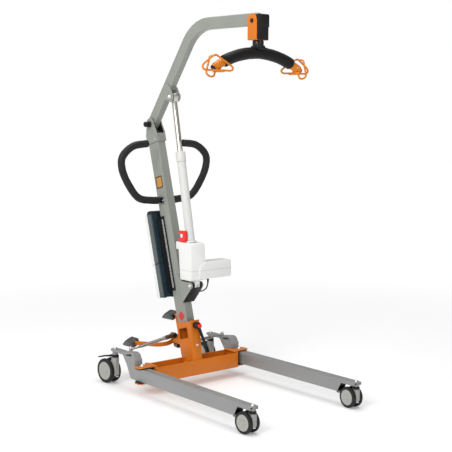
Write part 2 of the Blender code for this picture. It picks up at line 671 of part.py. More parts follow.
def build_boom():
    path, run, out = boom_path()
    tube = swept(path, flat_section(BOOM_W, BOOM_D), (1, 0, 0),
                 flat_section(BOOM_W - 2 * BOOM_WALL, BOOM_D - 2 * BOOM_WALL))
    across = Vector((0.05, 0, 0))
    cuts = [rod(BOOM_PIVOT - across, BOOM_PIVOT + across, 0.0053),
            rod(YOKE_BOLT - across, YOKE_BOLT + across, 0.0053)]
    corner = [(YOKE_BOLT.y - 0.0030, BOOM_TOP + 0.002), (YOKE_BOLT.y - 0.0140, 1.4520),
              (YOKE_BOLT.y - 0.0160, BOOM_TOP + 0.002)]
    cuts.append(prism(corner, 'X', -0.03, 0.03))
    piece('boom_tube', 'grey_paint', [tube], cuts, None, BOOM_PIVOT)

    frame = Matrix((( 1, 0, 0, 0), (0, out.y, run.y, 0), (0, out.z, run.z, 0),
                    (0, 0, 0, 1)))
    frame.translation = BOOM_PIVOT
    head = frame.inverted() @ RAM_HEAD
    under = BOOM_SET - BOOM_D / 2.0
    x = BOOM_W / 2.0
    cheek = [(under + 0.030, head.z + 0.030), (under + 0.030, head.z - 0.030),
             (under - 0.004, head.z - 0.030)]
    cheek += arc((head.y, head.z), 0.0205, 275, 85, 12)
    cheek += [(under - 0.004, head.z + 0.030)]
    solids = both_sides(prism(cheek, 'X', x + GAP, x + GAP + 0.005))
    solids.append(block((-x - 0.004, under - 0.0034, head.z - 0.030),
                        (x + 0.004, under - GAP, head.z + 0.030)))
    hole = rod(head - across, head + across, RAM_PIN_R + GAP)
    piece('boom_bracket', 'black_paint', solids, [hole], frame)
    face = x + GAP + 0.005 + GAP
    pin = [(0.0095, -0.0320), (0.0095, -face), (RAM_PIN_R, -face), (RAM_PIN_R, face),
           (0.0095, face), (0.0095, 0.0320)]
    piece('rod_pin', 'zinc', [turned(pin, RAM_HEAD, (1, 0, 0))])
    bolt = [(0.0085, -0.0360), (0.0085, -0.0303), (0.0050, -0.0303), (0.0050, 0.0303),
            (0.0085, 0.0303), (0.0085, 0.0360)]
    piece('yoke_bolt', 'black_paint', [turned(bolt, YOKE_BOLT, (1, 0, 0))])


def build_yoke():
    y, z = YOKE_BOLT.y, YOKE_BOLT.z
    strap = [(y + 0.024, 1.3630), (y + 0.024, z)]
    strap += arc((y, z), 0.026, 22, 158, 10) + [(y - 0.026, z), (y - 0.026, 1.3630)]
    solids = both_sides(prism(strap, 'X', 0.0260, 0.0300))
    solids.append(block((-0.0280, y - 0.026, 1.3630), (0.0280, y + 0.024, 1.3670)))
    across = Vector((0.05, 0, 0))
    cuts = [rod(YOKE_BOLT - across, YOKE_BOLT + across, 0.0053),
            rod((0, BAR_Y, 1.35), (0, BAR_Y, 1.38), 0.0073)]
    piece('yoke_strap', 'orange_paint', solids, cuts, None, YOKE_BOLT)
    front = y - 0.0300
    body = [(y + 0.0235, 1.3745), (y + 0.0235, z), (y + 0.0180, 1.4520), (y + 0.006, 1.4560),
            (front + 0.004, 1.4560), (front, 1.4520), (front, 1.3630), (y - 0.0265, 1.3630),
            (y - 0.0265, 1.3745)]
    cuts = [rod(YOKE_BOLT - across, YOKE_BOLT + across, 0.0053),
            block((-0.0155, y - 0.0265, 1.400), (0.0155, y + 0.05, 1.48))]
    piece('yoke_block', 'black_plastic', [prism(body, 'X', -0.0257, 0.0257)], cuts, None,
          YOKE_BOLT)


# ---- sling bar --------------------------------------------------------------------
def bar_point(x):
    """Centre of the sling bar at a distance from the middle."""
    return Vector((x, BAR_Y, BAR_Z - BAR_R + math.sqrt(BAR_R ** 2 - x * x)))


def bar_line(x0, x1, steps):
    """Points along the arc of the bar."""
    return [bar_point(x0 + (x1 - x0) * i / steps) for i in range(steps + 1)]


def bar_end(side):
    """End of the bar's tube and the direction it points in."""
    end = bar_point(side * BAR_END_X)
    return end, (end - bar_point(side * BAR_END_X * 0.93)).normalized()


def hook_wires(side):
    """Two bent wires that hold the sling straps at one end of the bar.

    A closed triangle stands beside the bar; a second loop starts at its top, crosses
    over the bar and hangs below it.  The two ends of the bar are half a turn apart.
    """
    near = BAR_Y + side * 0.0265
    far = -side * 0.0185
    triangle = [(0.1950, 1.2485), (0.2400, 1.2485), (0.2700, 1.2495), (0.2800, 1.2590),
                (0.2740, 1.2700), (0.2500, 1.2870), (0.2300, 1.3000), (0.2200, 1.3020),
                (0.2080, 1.2970), (0.1750, 1.2790), (0.1480, 1.2645), (0.1420, 1.2555),
                (0.1520, 1.2485), (0.1860, 1.2485)]
    low = [(0.2200, side * 0.0265, 1.3010), (0.2190, side * 0.0100, 1.3000),
           (0.2180, far * 0.60, 1.2960), (0.2170, far, 1.2790), (0.2250, far, 1.2530),
           (0.2260, far, 1.2380), (0.2110, far, 1.2285), (0.1940, far, 1.2300),
           (0.1860, far, 1.2480)]
    line = smooth_line([(side * x, near, z) for x, z in triangle], 2)
    wires = [swept(line, ring_section(WIRE_R, 8), (0, 1, 0))]
    line = smooth_line([(side * x, BAR_Y + y, z) for x, y, z in low], 2)
    wires.append(swept(line, ring_section(WIRE_R, 8), (0.7, side * 0.6, 0.3)))
    return wires


def build_sling_bar():
    hub_y, top = BAR_Y, 1.3627
    hub = rod((0, hub_y, 1.3300), (0, hub_y, top), 0.0210)
    neck = rod((0, hub_y, 1.3294), (0, hub_y, 1.3450), 0.0100)
    stud = rod((0, hub_y, 1.3500), (0, hub_y, 1.3720), 0.0070)
    cap = rod((0, hub_y, 1.3673), (0, hub_y, 1.3738), 0.0110)
    hollow = swept(bar_line(-0.05, 0.05, 4), ring_section(0.0226, 24), (0, 1, 0))
    piece('swivel_hub', 'black_paint', [hub, stud, cap], [hollow], adds=[neck])

    foam = swept(bar_line(-BAR_FOAM_X, BAR_FOAM_X, 12), ring_section(BAR_FOAM_R, 14),
                 (0, 1, 0), ring_section(BAR_TUBE_R + 0.0008, 14))
    seat = rod((0, hub_y, BAR_Z), (0, hub_y, 1.36), 0.0104)
    piece('spreader_foam', 'black_foam', [foam], [seat])

    solids = [swept(bar_line(-BAR_END_X, BAR_END_X, 14), ring_section(BAR_TUBE_R, 12),
                    (0, 1, 0))]
    cuts = []
    for side in (-1.0, 1.0):
        line = bar_line(side * 0.1675, side * 0.2050, 2)
        solids.append(swept(line, ring_section(0.0165, 14), (0, 1, 0)))
        end, out = bar_end(side)
        cuts.append(rod(end - out * 0.012, end + out * 0.010, 0.0092))
        plate = bar_point(side * 0.190)
        near, far = sorted((side * 0.0310, -side * 0.0225))
        low, high = sorted((side * 0.182, side * 0.198))
        solids.append(block((low, BAR_Y + near, plate.z - 0.0260),
                            (high, BAR_Y + far, plate.z - 0.0160)))
        solids.append(block((low, BAR_Y - 0.0110, plate.z - 0.0250),
                            (high, BAR_Y + 0.0110, plate.z - 0.0080)))
        solids += hook_wires(side)
    piece('spreader_frame', 'orange_paint', solids, cuts)
    for side, word in ((1.0, 'left'), (-1.0, 'right')):
        end, out = bar_end(side)
        plug = [(0.0086, -0.010), (0.0086, GAP), (0.0125, GAP), (0.0125, 0.002),
                (0.0100, 0.004)]
        piece('spreader_plug_' + word, 'black_plastic', [turned(plug, end, out, 16)])


# ---- ram --------------------------------------------------------------------------
def build_ram():
    """Electric ram: drawn partly in its own frame, z from the foot pin to the head pin."""
    low = 0.4290
    body = [(-0.0570, low), (-0.0600, low + 0.006), (-0.0500, 0.5700), (-0.0440, 0.5790),
            (0.0280, 0.5790), (0.0325, 0.5730), (0.0140, low + 0.006), (0.0110, low)]
    bulk = prism(body, 'X', -0.0370, 0.0370)
    for vert in bulk.verts:
        vert.co.x *= 1.0 + 0.9 * (0.520 - vert.co.z)
    solids = [bulk]
    arm = [(0.000, low + 0.004), (0.164, low + 0.004), (0.168, low + 0.010),
           (0.165, 0.5010), (0.034, 0.5010), (0.006, 0.4860)]
    solids.append(prism(arm, 'Y', -0.0612, 0.0000))
    solids.append(block((-0.0320, 0.0200, 0.5480), (-0.0180, 0.0520, 0.5785)))
    lug = [(RAM_FOOT.y - 0.012, RAM_FOOT.z), (RAM_FOOT.y - 0.012, low + 0.01),
           (RAM_FOOT.y + 0.012, low + 0.01), (RAM_FOOT.y + 0.012, RAM_FOOT.z)]
    lug += arc((RAM_FOOT.y, RAM_FOOT.z), 0.012, -15, -165, 8)
    solids.append(prism(lug, 'X', -0.0120, 0.0120))
    across = Vector((0.05, 0, 0))
    hole = rod(RAM_FOOT - across, RAM_FOOT + across, RAM_PIN_R + GAP)
    piece('motor_housing', 'white_plastic', solids, [hole], None, RAM_FOOT)

    seat = (RAM.inverted() @ Vector((0.0, RAM_FOOT.y + 0.0335, 0.5790))).z
    tube_s0 = seat + 0.0045
    tube_s1 = 0.5010
    rod_r = 0.0110
    bore = rod((0, 0, 0.05), (0, 0, 0.60), rod_r + 0.0004)
    tube = [(0.0180, tube_s0), (0.0180, tube_s1)]
    piece('actuator_tube', 'white_plastic', [turned(tube, (0, 0, 0), (0, 0, 1))], [bore],
          RAM, (0, 0, tube_s0))
    bore = rod((0, 0, 0.05), (0, 0, 0.60), rod_r + 0.0004)
    collar = [(0.0198, tube_s1 + GAP), (0.0198, 0.5370), (0.0185, 0.5410)]
    piece('tube_collar', 'white_plastic', [turned(collar, (0, 0, 0), (0, 0, 1))], [bore],
          RAM)
    head = RAM_LENGTH
    bar = [(rod_r, 0.4300), (rod_r, head - 0.0220)]
    piece('lift_rod', 'chrome', [turned(bar, (0, 0, 0), (0, 0, 1))], (), RAM)
    eye = [(-0.0195, head), (-0.0150, head - 0.0125), (-0.0120, head - 0.0217),
           (0.0120, head - 0.0217), (0.0150, head - 0.0125), (0.0195, head),
           (0.0150, head + 0.0125), (-0.0150, head + 0.0125)]
    slot = arc((0.0108, head), 0.0065, -90, 90, 6) + arc((-0.0108, head), 0.0065, 90, 270, 6)
    slot = [(y, head + (z - head) * 1.50) for y, z in slot]
    piece('rod_eye', 'white_plastic', [prism(eye, 'X', -0.0115, 0.0115)],
          [prism(slot, 'X', -0.03, 0.03)], RAM)
    release = [(-0.0060, 0.5794), (0.0340, 0.5794), (0.0360, 0.5850), (0.0320, 0.5950),
               (0.0100, 0.5990), (0.0100, 0.6110), (0.0360, 0.6110), (0.0420, 0.6200),
               (0.0360, 0.6240), (-0.0040, 0.6260), (-0.0090, 0.6200), (-0.0090, 0.5850)]
    piece('quick_release', 'red_plastic', [prism(release, 'X', -0.0320, -0.0205)])
    cable = smooth_line(((0.066, -0.034, 0.4286), (0.066, -0.033, 0.4100),
                         (0.062, -0.028, 0.3880), (0.050, -0.018, 0.3770),
                         (0.038, -0.004, 0.3740), (0.0335, 0.010, 0.3660),
                         (0.0330, 0.018, 0.3480)), 3)
    solid = swept(cable, ring_section(0.0025, 6), (1, 0.3, 0))
    piece('motor_cable', 'cable_black', [solid])


# ---- pedal, tie rods and clamp ----------------------------------------------------
def ball(side):
    """Place of a ball stud on the rocker; the right one is above the shaft."""
    lean = math.radians(23.6)
    return Vector((side * BALL_R * math.sin(lean), BALL_Y,
                   PEDAL_Z - side * BALL_R * math.cos(lean)))


def build_pedal():
    frame = Matrix.Translation((0, 0, PEDAL_Z)) @ Matrix.Rotation(-PEDAL_TILT, 4, 'Y')
    back = frame.inverted()
    solids = [rod((0, 0.0650, 0), (0, 0.1100, 0), 0.0125)]
    for side in (-1.0, 1.0):
        spot = back @ ball(side)
        bridge = [(-0.0100, 0.0), (0.0100, 0.0), (spot.x + 0.0080, spot.z),
                  (spot.x - 0.0080, spot.z)]
        solids.append(prism(bridge, 'Y', 0.1040, 0.1100))
        solids.append(rod((spot.x, 0.1040, spot.z), (spot.x, 0.1100, spot.z), 0.0100))
        solids.append(rod((spot.x, 0.0865, spot.z), (spot.x, 0.1080, spot.z), 0.0050, 16))
        line = smooth_line([(side * 0.004, 0.1070, 0.0), (side * 0.020, 0.1070, 0.0),
                            (side * 0.040, 0.1130, 0.003), (side * 0.068, 0.137, 0.011),
                            (side * 0.095, 0.176, 0.025),
                            (side * 0.1115, 0.208, 0.030), (side * 0.112, 0.222, 0.030),
                            (side * 0.112, 0.262, 0.030)], 2)
        line = [Vector((p.x, max(p.y, 0.1070), p.z)) for p in line]
        solids.append(swept(line, flat_section(0.0180, 0.0060), (0, 0, 1)))
    bore = rod((0, 0.05, 0), (0, 0.13, 0), 0.0080)
    piece('pedal_lever', 'orange_paint', solids, [bore], frame, (0, BALL_Y, 0))
    for side, word in ((1.0, 'left'), (-1.0, 'right')):
        x = side * 0.112
        outline = [(0.2180, 0.0160), (0.2900, 0.0130), (0.3020, 0.0150), (0.2960, 0.0220),
                   (0.2700, 0.0400), (0.2600, 0.0430), (0.2180, 0.0430)]
        pad = prism(outline, 'X', x - 0.0190, x + 0.0190)
        pocket = block((x - 0.0035, 0.21, 0.0206), (x + 0.0035, 0.2625, 0.0394))
        piece('pedal_pad_' + word, 'black_plastic', [pad], [pocket], frame,
              (0, BALL_Y, 0))


def build_tie_rod(side, word):
    """Track rod from the rocker's ball stud to the stud on the leg."""
    start = ball(side)
    end = leg_frame(side) @ Vector((-side * (LEG_X - STUD.x), STUD.y - LEG_Y, STUD.z))
    eye_y = start.y
    solids = [rod((start.x, eye_y - 0.0075, start.z), (start.x, eye_y + 0.0080, start.z),
                  0.0108)]
    flat = Vector((end.x, end.y, 0.0))
    solids.append(rod(flat + Vector((0, 0, 0.1515)), flat + Vector((0, 0, 0.1585)),
                      0.0080))
    axis = end - start
    length = axis.length
    body = [(0.0066, 0.008), (0.0084, 0.014), (0.0092, 0.042), (0.0070, 0.050),
            (0.0068, length * 0.74), (0.0034, length * 0.86), (0.0030, length - 0.005)]
    solids.append(turned(body, start, axis, 12))
    cuts = [rod((start.x, eye_y - 0.02, start.z), (start.x, eye_y + 0.02, start.z),
                0.0078),
            rod(flat + Vector((0, 0, 0.14)), flat + Vector((0, 0, 0.17)), 0.0043, 16)]
    piece('tie_rod_' + word, 'zinc', solids, cuts, None, end)


def build_clamp():
    """Screw with a lever that pulls the mast on to its spigot."""
    hub_y = socket_front(CLAMP_Z - 0.0140) - 0.0005
    spot = Vector((0, 0, CLAMP_Z))
    screw_end = mast_rear(CLAMP_Z) - MAST_D / math.cos(MAST_RAKE) - 0.0012
    solids = [rod(spot + Vector((0, -0.0580, 0)), spot + Vector((0, hub_y, 0)), 0.0140),
              rod(spot + Vector((0, hub_y - 0.002, 0)), spot + Vector((0, screw_end, 0)),
                  0.0040, 16)]
    top = Vector((0.0, CLAMP_Z))
    tip = Vector((0.040, 0.157))
    along = (tip - top).normalized()
    side = Vector((-along.y, along.x))
    arm = []
    for reach, half in ((0.008, 0.0055), (0.070, 0.0045), (0.090, 0.0065), (0.097, 0.0045)):
        arm.append((top + along * reach, side * half))
    outline = [tuple(p + h) for p, h in arm] + [tuple(p - h) for p, h in reversed(arm)]
    solids.append(prism(outline, 'Y', -0.0585, -0.0505))
    well = rod(spot + Vector((0, -0.0600, 0)), spot + Vector((0, -0.0525, 0)), 0.0085, 16)
    piece('clamp_lever', 'black_paint', solids, [well], None, spot)
    button = [(0.0080, 0.0), (0.0080, 0.0118), (0.0062, 0.0143)]
    seat = spot + Vector((0, -0.0560, 0))
    piece('clamp_button', 'red_plastic', [turned(button, seat, (0, -1, 0))], (), None, seat)


def main():
    for obj in list(bpy.data.objects):
        bpy.data.objects.remove(obj, do_unlink=True)
    build_base_channel()
    build_mast_socket()
    build_leg_pivots()
    for side, word in ((1.0, 'left'), (-1.0, 'right')):
        build_leg(side, word)
        build_castor(side, NOSE_STEM_Y, FRONT_CASTOR, 'front', word)
        frame, spec = build_castor(side, TAIL_STEM_Y, REAR_CASTOR, 'rear', word)
        build_brake_pedal(frame, word)
        build_tie_rod(side, word)
    build_mast()
    build_boom_knob()
    build_handle()
    build_ram_bracket()
    build_box()
    build_boom()
    build_yoke()
    build_sling_bar()
    build_ram()
    build_pedal()
    build_clamp()
    for obj in bpy.context.scene.objects:
        obj.location.y += DATUM_SHIFT


main()
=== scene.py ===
"""Looks of the mobile patient lift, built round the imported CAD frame.

Metres, +Z up, the front of the lift at -Y.  Every new piece is modelled in place, in the
row frame, and rides on the CAD body that it belongs to.
"""
import json
from math import cos, exp, pi, radians, sin, sqrt, tan, tau

import bmesh
import bpy
from mathutils import Matrix, Vector


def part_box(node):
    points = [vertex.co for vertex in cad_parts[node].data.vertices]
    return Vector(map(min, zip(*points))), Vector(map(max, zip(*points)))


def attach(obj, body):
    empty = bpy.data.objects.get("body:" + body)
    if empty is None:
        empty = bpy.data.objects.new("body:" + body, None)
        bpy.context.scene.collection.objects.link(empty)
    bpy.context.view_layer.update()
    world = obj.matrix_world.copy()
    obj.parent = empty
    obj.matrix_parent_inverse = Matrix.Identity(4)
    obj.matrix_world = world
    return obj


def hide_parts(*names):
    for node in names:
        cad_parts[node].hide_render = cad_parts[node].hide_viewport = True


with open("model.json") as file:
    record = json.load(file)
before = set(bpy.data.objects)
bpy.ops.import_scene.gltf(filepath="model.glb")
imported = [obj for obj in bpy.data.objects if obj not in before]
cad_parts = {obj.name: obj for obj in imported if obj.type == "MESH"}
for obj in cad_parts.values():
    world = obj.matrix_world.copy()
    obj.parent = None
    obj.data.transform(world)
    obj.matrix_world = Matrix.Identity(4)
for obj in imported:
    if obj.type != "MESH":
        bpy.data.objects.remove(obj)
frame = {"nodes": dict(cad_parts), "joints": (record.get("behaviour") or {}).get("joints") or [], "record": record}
NODES = frame["nodes"]
JOINTS = {joint["name"]: joint for joint in frame["joints"]}
SLOT_OF = {row["node"]: row["material_slot"] for row in frame["record"]["subparts"]}
BODY_OF = {node: body for body, members in frame["record"]["behaviour"]["bodies"].items()
    for node in members}
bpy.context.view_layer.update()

X, Y, Z = Vector((1, 0, 0)), Vector((0, 1, 0)), Vector((0, 0, 1))
SIDES = ((1.0, "left"), (-1.0, "right"))  # sign along X and its word


def joint_point(name):
    """Place of a joint's axis in the row frame."""
    return Vector(JOINTS[name]["pos_m"])


def joint_axis(name):
    """Direction of a joint's axis."""
    return Vector(JOINTS[name]["axis"])


def frame_of(x, y, z, origin):
    """Frame with the given axes and origin."""
    matrix = Matrix((x, y, z)).transposed().to_4x4()
    matrix.translation = origin
    return matrix


def frame_along(origin, up):
    """Frame with z along a direction in the plane X = 0 and x across the lift."""
    z = up.normalized()
    return frame_of(X, z.cross(X), z, origin)


def facing(origin, normal, up):
    """Frame on a face: z out of the face, y as near as it can be to up."""
    z = normal.normalized()
    y = (up - z * up.dot(z)).normalized()
    return frame_of(y.cross(z), y, z, origin)


SHIFT = 0.2006  # CAD drawing datum along Y
MAST = frame_along(Vector((0, 0.0116 + SHIFT, 0.2)), joint_axis("mast_lift"))
MAST_UP, MAST_BACK = MAST.to_3x3() @ Z, MAST.to_3x3() @ Y
RAM = frame_along(joint_point("ram_tilt"), joint_axis("ram_stroke"))
BOOM_PIVOT = joint_point("boom_lift")
YOKE_BOLT = joint_point("yoke_swing")
BAR_Y = joint_point("spreader_swivel").y


# ---- materials ----
class Graph:
    """Short way to write a node tree."""

    def __init__(self, owner):
        owner.use_nodes = True
        self.nodes, self.links = owner.node_tree.nodes, owner.node_tree.links

    def fill(self, node, sockets):
        """Link or set a node's inputs; a tuple is a colour without its alpha."""
        for name, value in sockets.items():
            if isinstance(value, bpy.types.NodeSocket):
                self.links.new(value, node.inputs[name])
            elif isinstance(value, tuple):
                node.inputs[name].default_value = (*value, 1.0)
            else:
                node.inputs[name].default_value = value

    def make(self, kind, output, sockets=None, **settings):
        """Output of a new node, with its settings chosen and its inputs filled."""
        node = self.nodes.new("ShaderNode" + kind)
        for name, value in settings.items():
            setattr(node, name, value)
        self.fill(node, sockets or {})
        return node.outputs[output]

    def span(self, value, low, high, to_low=0.0, to_high=1.0):
        """Map one range of values to another."""
        return self.make("MapRange", "Result", {"Value": value, "From Min": low, "From Max": high,
            "To Min": to_low, "To Max": to_high})

    def math(self, kind, a, b):
        """Arithmetic on two values."""
        return self.make("Math", "Value", {0: a, 1: b}, operation=kind)

    def mix(self, factor, a, b):
        """Colour between two colours."""
        return self.make("Mix", "Result", {"Factor": factor, "A": a, "B": b}, data_type="RGBA")


class Surface(Graph):
    """Material with a principled shader and the ways that its look varies."""

    def __init__(self, name, colour, rough, sockets):
        self.mat = bpy.data.materials.new(name)
        super().__init__(self.mat)
        self.shader = self.nodes["Principled BSDF"]
        self.colour, self.rough = colour, rough
        self.coords = self.make("TexCoord", "Object")
        self.fill(self.shader, sockets)

    def noise(self, scale, detail=3.0):
        """Cloudy pattern fixed to the object."""
        return self.make("TexNoise", "Fac", {"Vector": self.coords, "Scale": scale, "Detail": detail})

    def mottled(self, amount, scale):
        """Own colour, a little darker and lighter in patches."""
        patches = self.span(self.noise(scale), 0.35, 0.65)
        return self.mix(patches, scaled(self.colour, 1.0 - amount), scaled(self.colour, 1.0 + amount))

    def edge_wear_and_highlight(self, colour, wear_and_highlight_colour, amount):
        """Colour lighter along the outer edges, in patches: partly wear, partly a painted highlight."""
        point = self.make("NewGeometry", "Pointiness")
        patches = self.span(self.noise(160.0, 4.0), 0.5, 0.66)
        edges = self.math("MULTIPLY", self.span(point, 0.58, 0.68), patches)
        return self.mix(self.math("MULTIPLY", edges, amount), colour, wear_and_highlight_colour)

    def bump(self, height, strength, depth):
        """Relief from a height pattern."""
        return self.make("Bump", "Normal", {"Height": height, "Strength": strength, "Distance": depth})

    def finish(self, colour, rough_spread, strength, scale, depth):
        """Fill the shader: colour, uneven roughness and a fine relief."""
        rough = self.span(self.noise(45.0), 0.3, 0.7, self.rough - rough_spread,
            self.rough + rough_spread)
        self.fill(self.shader, {"Base Color": colour, "Roughness": rough,
            "Normal": self.bump(self.noise(scale, 4.0), strength, depth)})
        return self.mat


GLOSS = "Specular IOR Level"
WHITE, BLACK = (1.0, 1.0, 1.0), (0.0, 0.0, 0.0)


def scaled(colour, factor, lift=0.0):
    """Darker or lighter colour."""
    return tuple(min(1.0, c * factor + lift) for c in colour)


def powder_coat(name, colour, rough, wear_and_highlight_colour=(0.55, 0.55, 0.52), gloss=0.42):
    """Baked paint: fine orange peel, faint mottling, edges lighter: partly rubbed thin, partly a painted
    highlight.
    """
    g = Surface(name, colour, rough, {GLOSS: gloss})
    return g.finish(g.edge_wear_and_highlight(g.mottled(0.03, 9.0), wear_and_highlight_colour, 0.3), 0.012, 0.05, 900.0, 0.0002)


def moulded(name, colour, rough=0.45, grain=1500.0, bump=0.1, mottle=0.03, coat=0.0, gloss=0.35):
    """Moulded plastic with a fine spark-eroded grain."""
    g = Surface(name, colour, rough, {GLOSS: gloss, "Coat Weight": coat, "Coat Roughness": 0.15})
    # Lighter outer edges: partly scuffs, partly a painted highlight.
    skin = g.edge_wear_and_highlight(g.mottled(mottle, 14.0), scaled(colour, 1.5, 0.02), 0.25)
    return g.finish(skin, 0.05, bump, grain, 0.0002)


def foam(name, colour, gloss=0.3):
    """Closed-cell foam skin: soft sheen and small open cells."""
    g = Surface(name, colour, 0.55, {GLOSS: gloss, "Sheen Weight": 0.04, "Sheen Roughness": 0.45})
    cells = g.make("TexVoronoi", "Distance", {"Vector": g.coords, "Scale": 900.0})
    skin = g.mix(g.span(cells, 0.1, 0.5), g.mottled(0.12, 22.0), scaled(colour, 0.55))
    return g.finish(skin, 0.07, 0.35, 620.0, 0.0006)


def rubber(name, colour, rough=0.6):
    """Tyre rubber with scuffs and dust."""
    g = Surface(name, colour, rough, {GLOSS: 0.3})
    skin = g.mix(g.span(g.noise(70.0, 5.0), 0.52, 0.75), g.mottled(0.1, 30.0),
        scaled(colour, 1.6, 0.004))
    return g.finish(skin, 0.09, 0.25, 800.0, 0.0004)


def metal(name, colour, rough, mottle=0.05, bump=0.05):
    """Bare or plated metal with faint stains and handling marks."""
    g = Surface(name, colour, rough, {"Metallic": 1.0})
    return g.finish(g.mottled(mottle, 60.0), min(0.06, rough * 0.4), bump, 350.0, 0.0002)


def threaded(name, colour, direction):
    """Plated rod with a rolled thread round its own direction, darker in its grooves as painted shade."""
    pitch = 0.0018
    g = Surface(name, colour, 0.34, {"Metallic": 1.0, "Roughness": 0.34})
    turns = direction.normalized() * (tau / pitch)
    along = g.make("VectorMath", "Value", {0: g.coords, 1: turns}, operation="DOT_PRODUCT")
    wave = g.math("SINE", along, 0.0)
    # The colour follows the thread's wave and is darker in the grooves: painted shade.
    g.fill(g.shader, {"Base Color": g.mix(g.span(wave, -1.0, 1.0), scaled(colour, 0.55), colour),
        "Normal": g.bump(wave, 0.8, 0.0006)})
    return g.mat


M = {
    "grey_paint": powder_coat("grey_paint_coat", (0.246, 0.258, 0.227), 0.31),
    "orange_paint": powder_coat("orange_paint_coat", (0.6, 0.16, 0.01), 0.3,
                                (0.85, 0.45, 0.2), 0.26),
    "black_paint": powder_coat("black_paint_coat", (0.007, 0.007, 0.008), 0.26,
                               (0.06, 0.06, 0.06), 0.35),
    "black_plastic": moulded("black_plastic_grain", (0.008, 0.008, 0.009), 0.38, gloss=0.25),
    "black_foam": foam("black_foam_skin", (0.013, 0.0135, 0.013)),
    "white_plastic": moulded("white_plastic_grain", (0.73, 0.73, 0.715), 0.34, 1800.0, 0.05,
                             0.012),
    "dark_case": moulded("dark_case_satin", (0.008, 0.024, 0.037), 0.24, 1600.0, 0.05, 0.06,
                         0.3),
    "red_plastic": moulded("red_plastic_gloss", (0.72, 0.022, 0.014), 0.28, 1500.0, 0.04),
    "zinc": metal("zinc_plate", (0.56, 0.56, 0.53), 0.3),
    "chrome": metal("chrome_ground", (0.74, 0.69, 0.62), 0.12, 0.01, 0.01),
    "castor_grey": moulded("castor_grey_grain", (0.31, 0.31, 0.285), 0.36, 1300.0, 0.06),
    "tyre_black": rubber("tyre_rubber", (0.008, 0.008, 0.009)),
    "cable_black": rubber("cable_skin", (0.012, 0.012, 0.012), 0.5),
}
LEG_GREY = powder_coat("leg_paint_coat", (0.232, 0.234, 0.232), 0.3)
HOOK_COAT = powder_coat("hook_paint_coat", (0.64, 0.195, 0.008), 0.28, (0.85, 0.5, 0.2), 0.3)
# Darker copy of the grip foam for the sling bar, which the light from above reaches more: painted shade.
BAR_FOAM_SHADED = foam("bar_foam_painted_shade", (0.0065, 0.0065, 0.006), 0.18)
TUBE_WHITE = moulded("tube_white_coat", (0.6, 0.6, 0.585), 0.3, 1800.0, 0.03, 0.01)
DOME = metal("bright_zinc", (0.74, 0.74, 0.72), 0.18)
OLIVE = metal("olive_passivated", (0.15, 0.145, 0.11), 0.4)
PAD = rubber("pedal_rubber", (0.058, 0.06, 0.058), 0.38)
AMBER = moulded("amber_label", (0.5, 0.235, 0.03), 0.3, 900.0, 0.02)
RED_MARK = moulded("red_label", (0.55, 0.024, 0.02), 0.35, 900.0, 0.02)
COIL = metal("coil_steel", (0.78, 0.79, 0.8), 0.28)
SHADOW_GAP = moulded("seam_dark", (0.02, 0.02, 0.02), 0.6)
SEAM_GREY = moulded("seam_grey", (0.36, 0.36, 0.35), 0.5)
# Lighter grey for the sides of the dark case, where the light falls: a lit copy of the case colour, painted light.
# The handle sleeve uses it too.
CASE_SIDE_LIT = moulded("case_side_painted_light", (0.075, 0.092, 0.088), 0.34, 1600.0, 0.05)
PALE_DISC = moulded("castor_disc_grain", (0.335, 0.335, 0.305), 0.34, 1400.0, 0.05)
GREEN_LIGHT = moulded("indicator_green", (0.05, 0.45, 0.12), 0.25, 900.0, 0.02)

for node_name, node in NODES.items():
    for material_slot in node.material_slots:
        material_slot.material = M[SLOT_OF[node_name]]


# ---- mesh helpers ----
def show(obj):
    """Put an object into the scene."""
    bpy.context.scene.collection.objects.link(obj)
    return obj


def add(name, bm, body, slot, material=None, replaces=None, angle=34.0, edges=None):
    """Turn a bmesh into a piece that rides on a body, sharp where it turns past an angle."""
    bmesh.ops.recalc_face_normals(bm, faces=bm.faces)
    mesh = bpy.data.meshes.new(name)
    bm.to_mesh(mesh)
    bm.free()
    mesh.materials.append(material or M[slot])
    obj = show(bpy.data.objects.new(name, mesh))
    if edges:
        rounded(obj, *edges)
    for face in obj.data.polygons:
        face.use_smooth = True
    obj.data.set_sharp_from_angle(angle=radians(angle))
    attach(obj, body)
    if replaces:
        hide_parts(replaces)
    return obj


def weigh_edges(bm, width):
    """Mark the sharp edges for a bevel, smaller where there is little room."""
    layer = bm.edges.layers.float.new("bevel_weight_edge")
    for edge in bm.edges:
        if len(edge.link_faces) != 2 or edge.calc_face_angle() < radians(30.0):
            continue
        along = (edge.verts[0].co - edge.verts[1].co).normalized()
        room = width
        for other in [e for vert in edge.verts for e in vert.link_edges if e is not edge]:
            turn = (other.verts[0].co - other.verts[1].co).normalized()
            if abs(turn.dot(along)) < 0.985:
                room = min(room, other.calc_length() * 0.45)
        edge[layer] = room / width


def rounded(obj, width, segments=2):
    """Bevel the sharp edges of a piece, and keep the result as its mesh."""
    flat = obj.data
    bm = bmesh.new()
    bm.from_mesh(flat)
    weigh_edges(bm, width)
    bm.to_mesh(flat)
    bm.free()
    bevel = obj.modifiers.new("edges", "BEVEL")
    bevel.limit_method = "WEIGHT"
    bevel.width = width
    bevel.segments = segments
    bevel.use_clamp_overlap = False
    graph = bpy.context.evaluated_depsgraph_get()
    mesh = bpy.data.meshes.new_from_object(obj.evaluated_get(graph))
    obj.modifiers.clear()
    obj.data = mesh
    bpy.data.meshes.remove(flat)
    mesh.name = obj.name


def softened(node, width, segments=2, material=None):
    """Copy of a CAD node with rounded edges, which stands for it."""
    source = NODES[node].data
    bm = bmesh.new()
    verts = [bm.verts.new(v.co) for v in source.vertices]
    for face in source.polygons:
        bm.faces.new([verts[i] for i in face.vertices])
    bmesh.ops.remove_doubles(bm, verts=bm.verts, dist=2e-6)
    bmesh.ops.dissolve_limit(bm, angle_limit=radians(0.6), verts=bm.verts, edges=bm.edges)
    return add(node + "_body", bm, BODY_OF[node], SLOT_OF[node], material, node, edges=(width, segments))


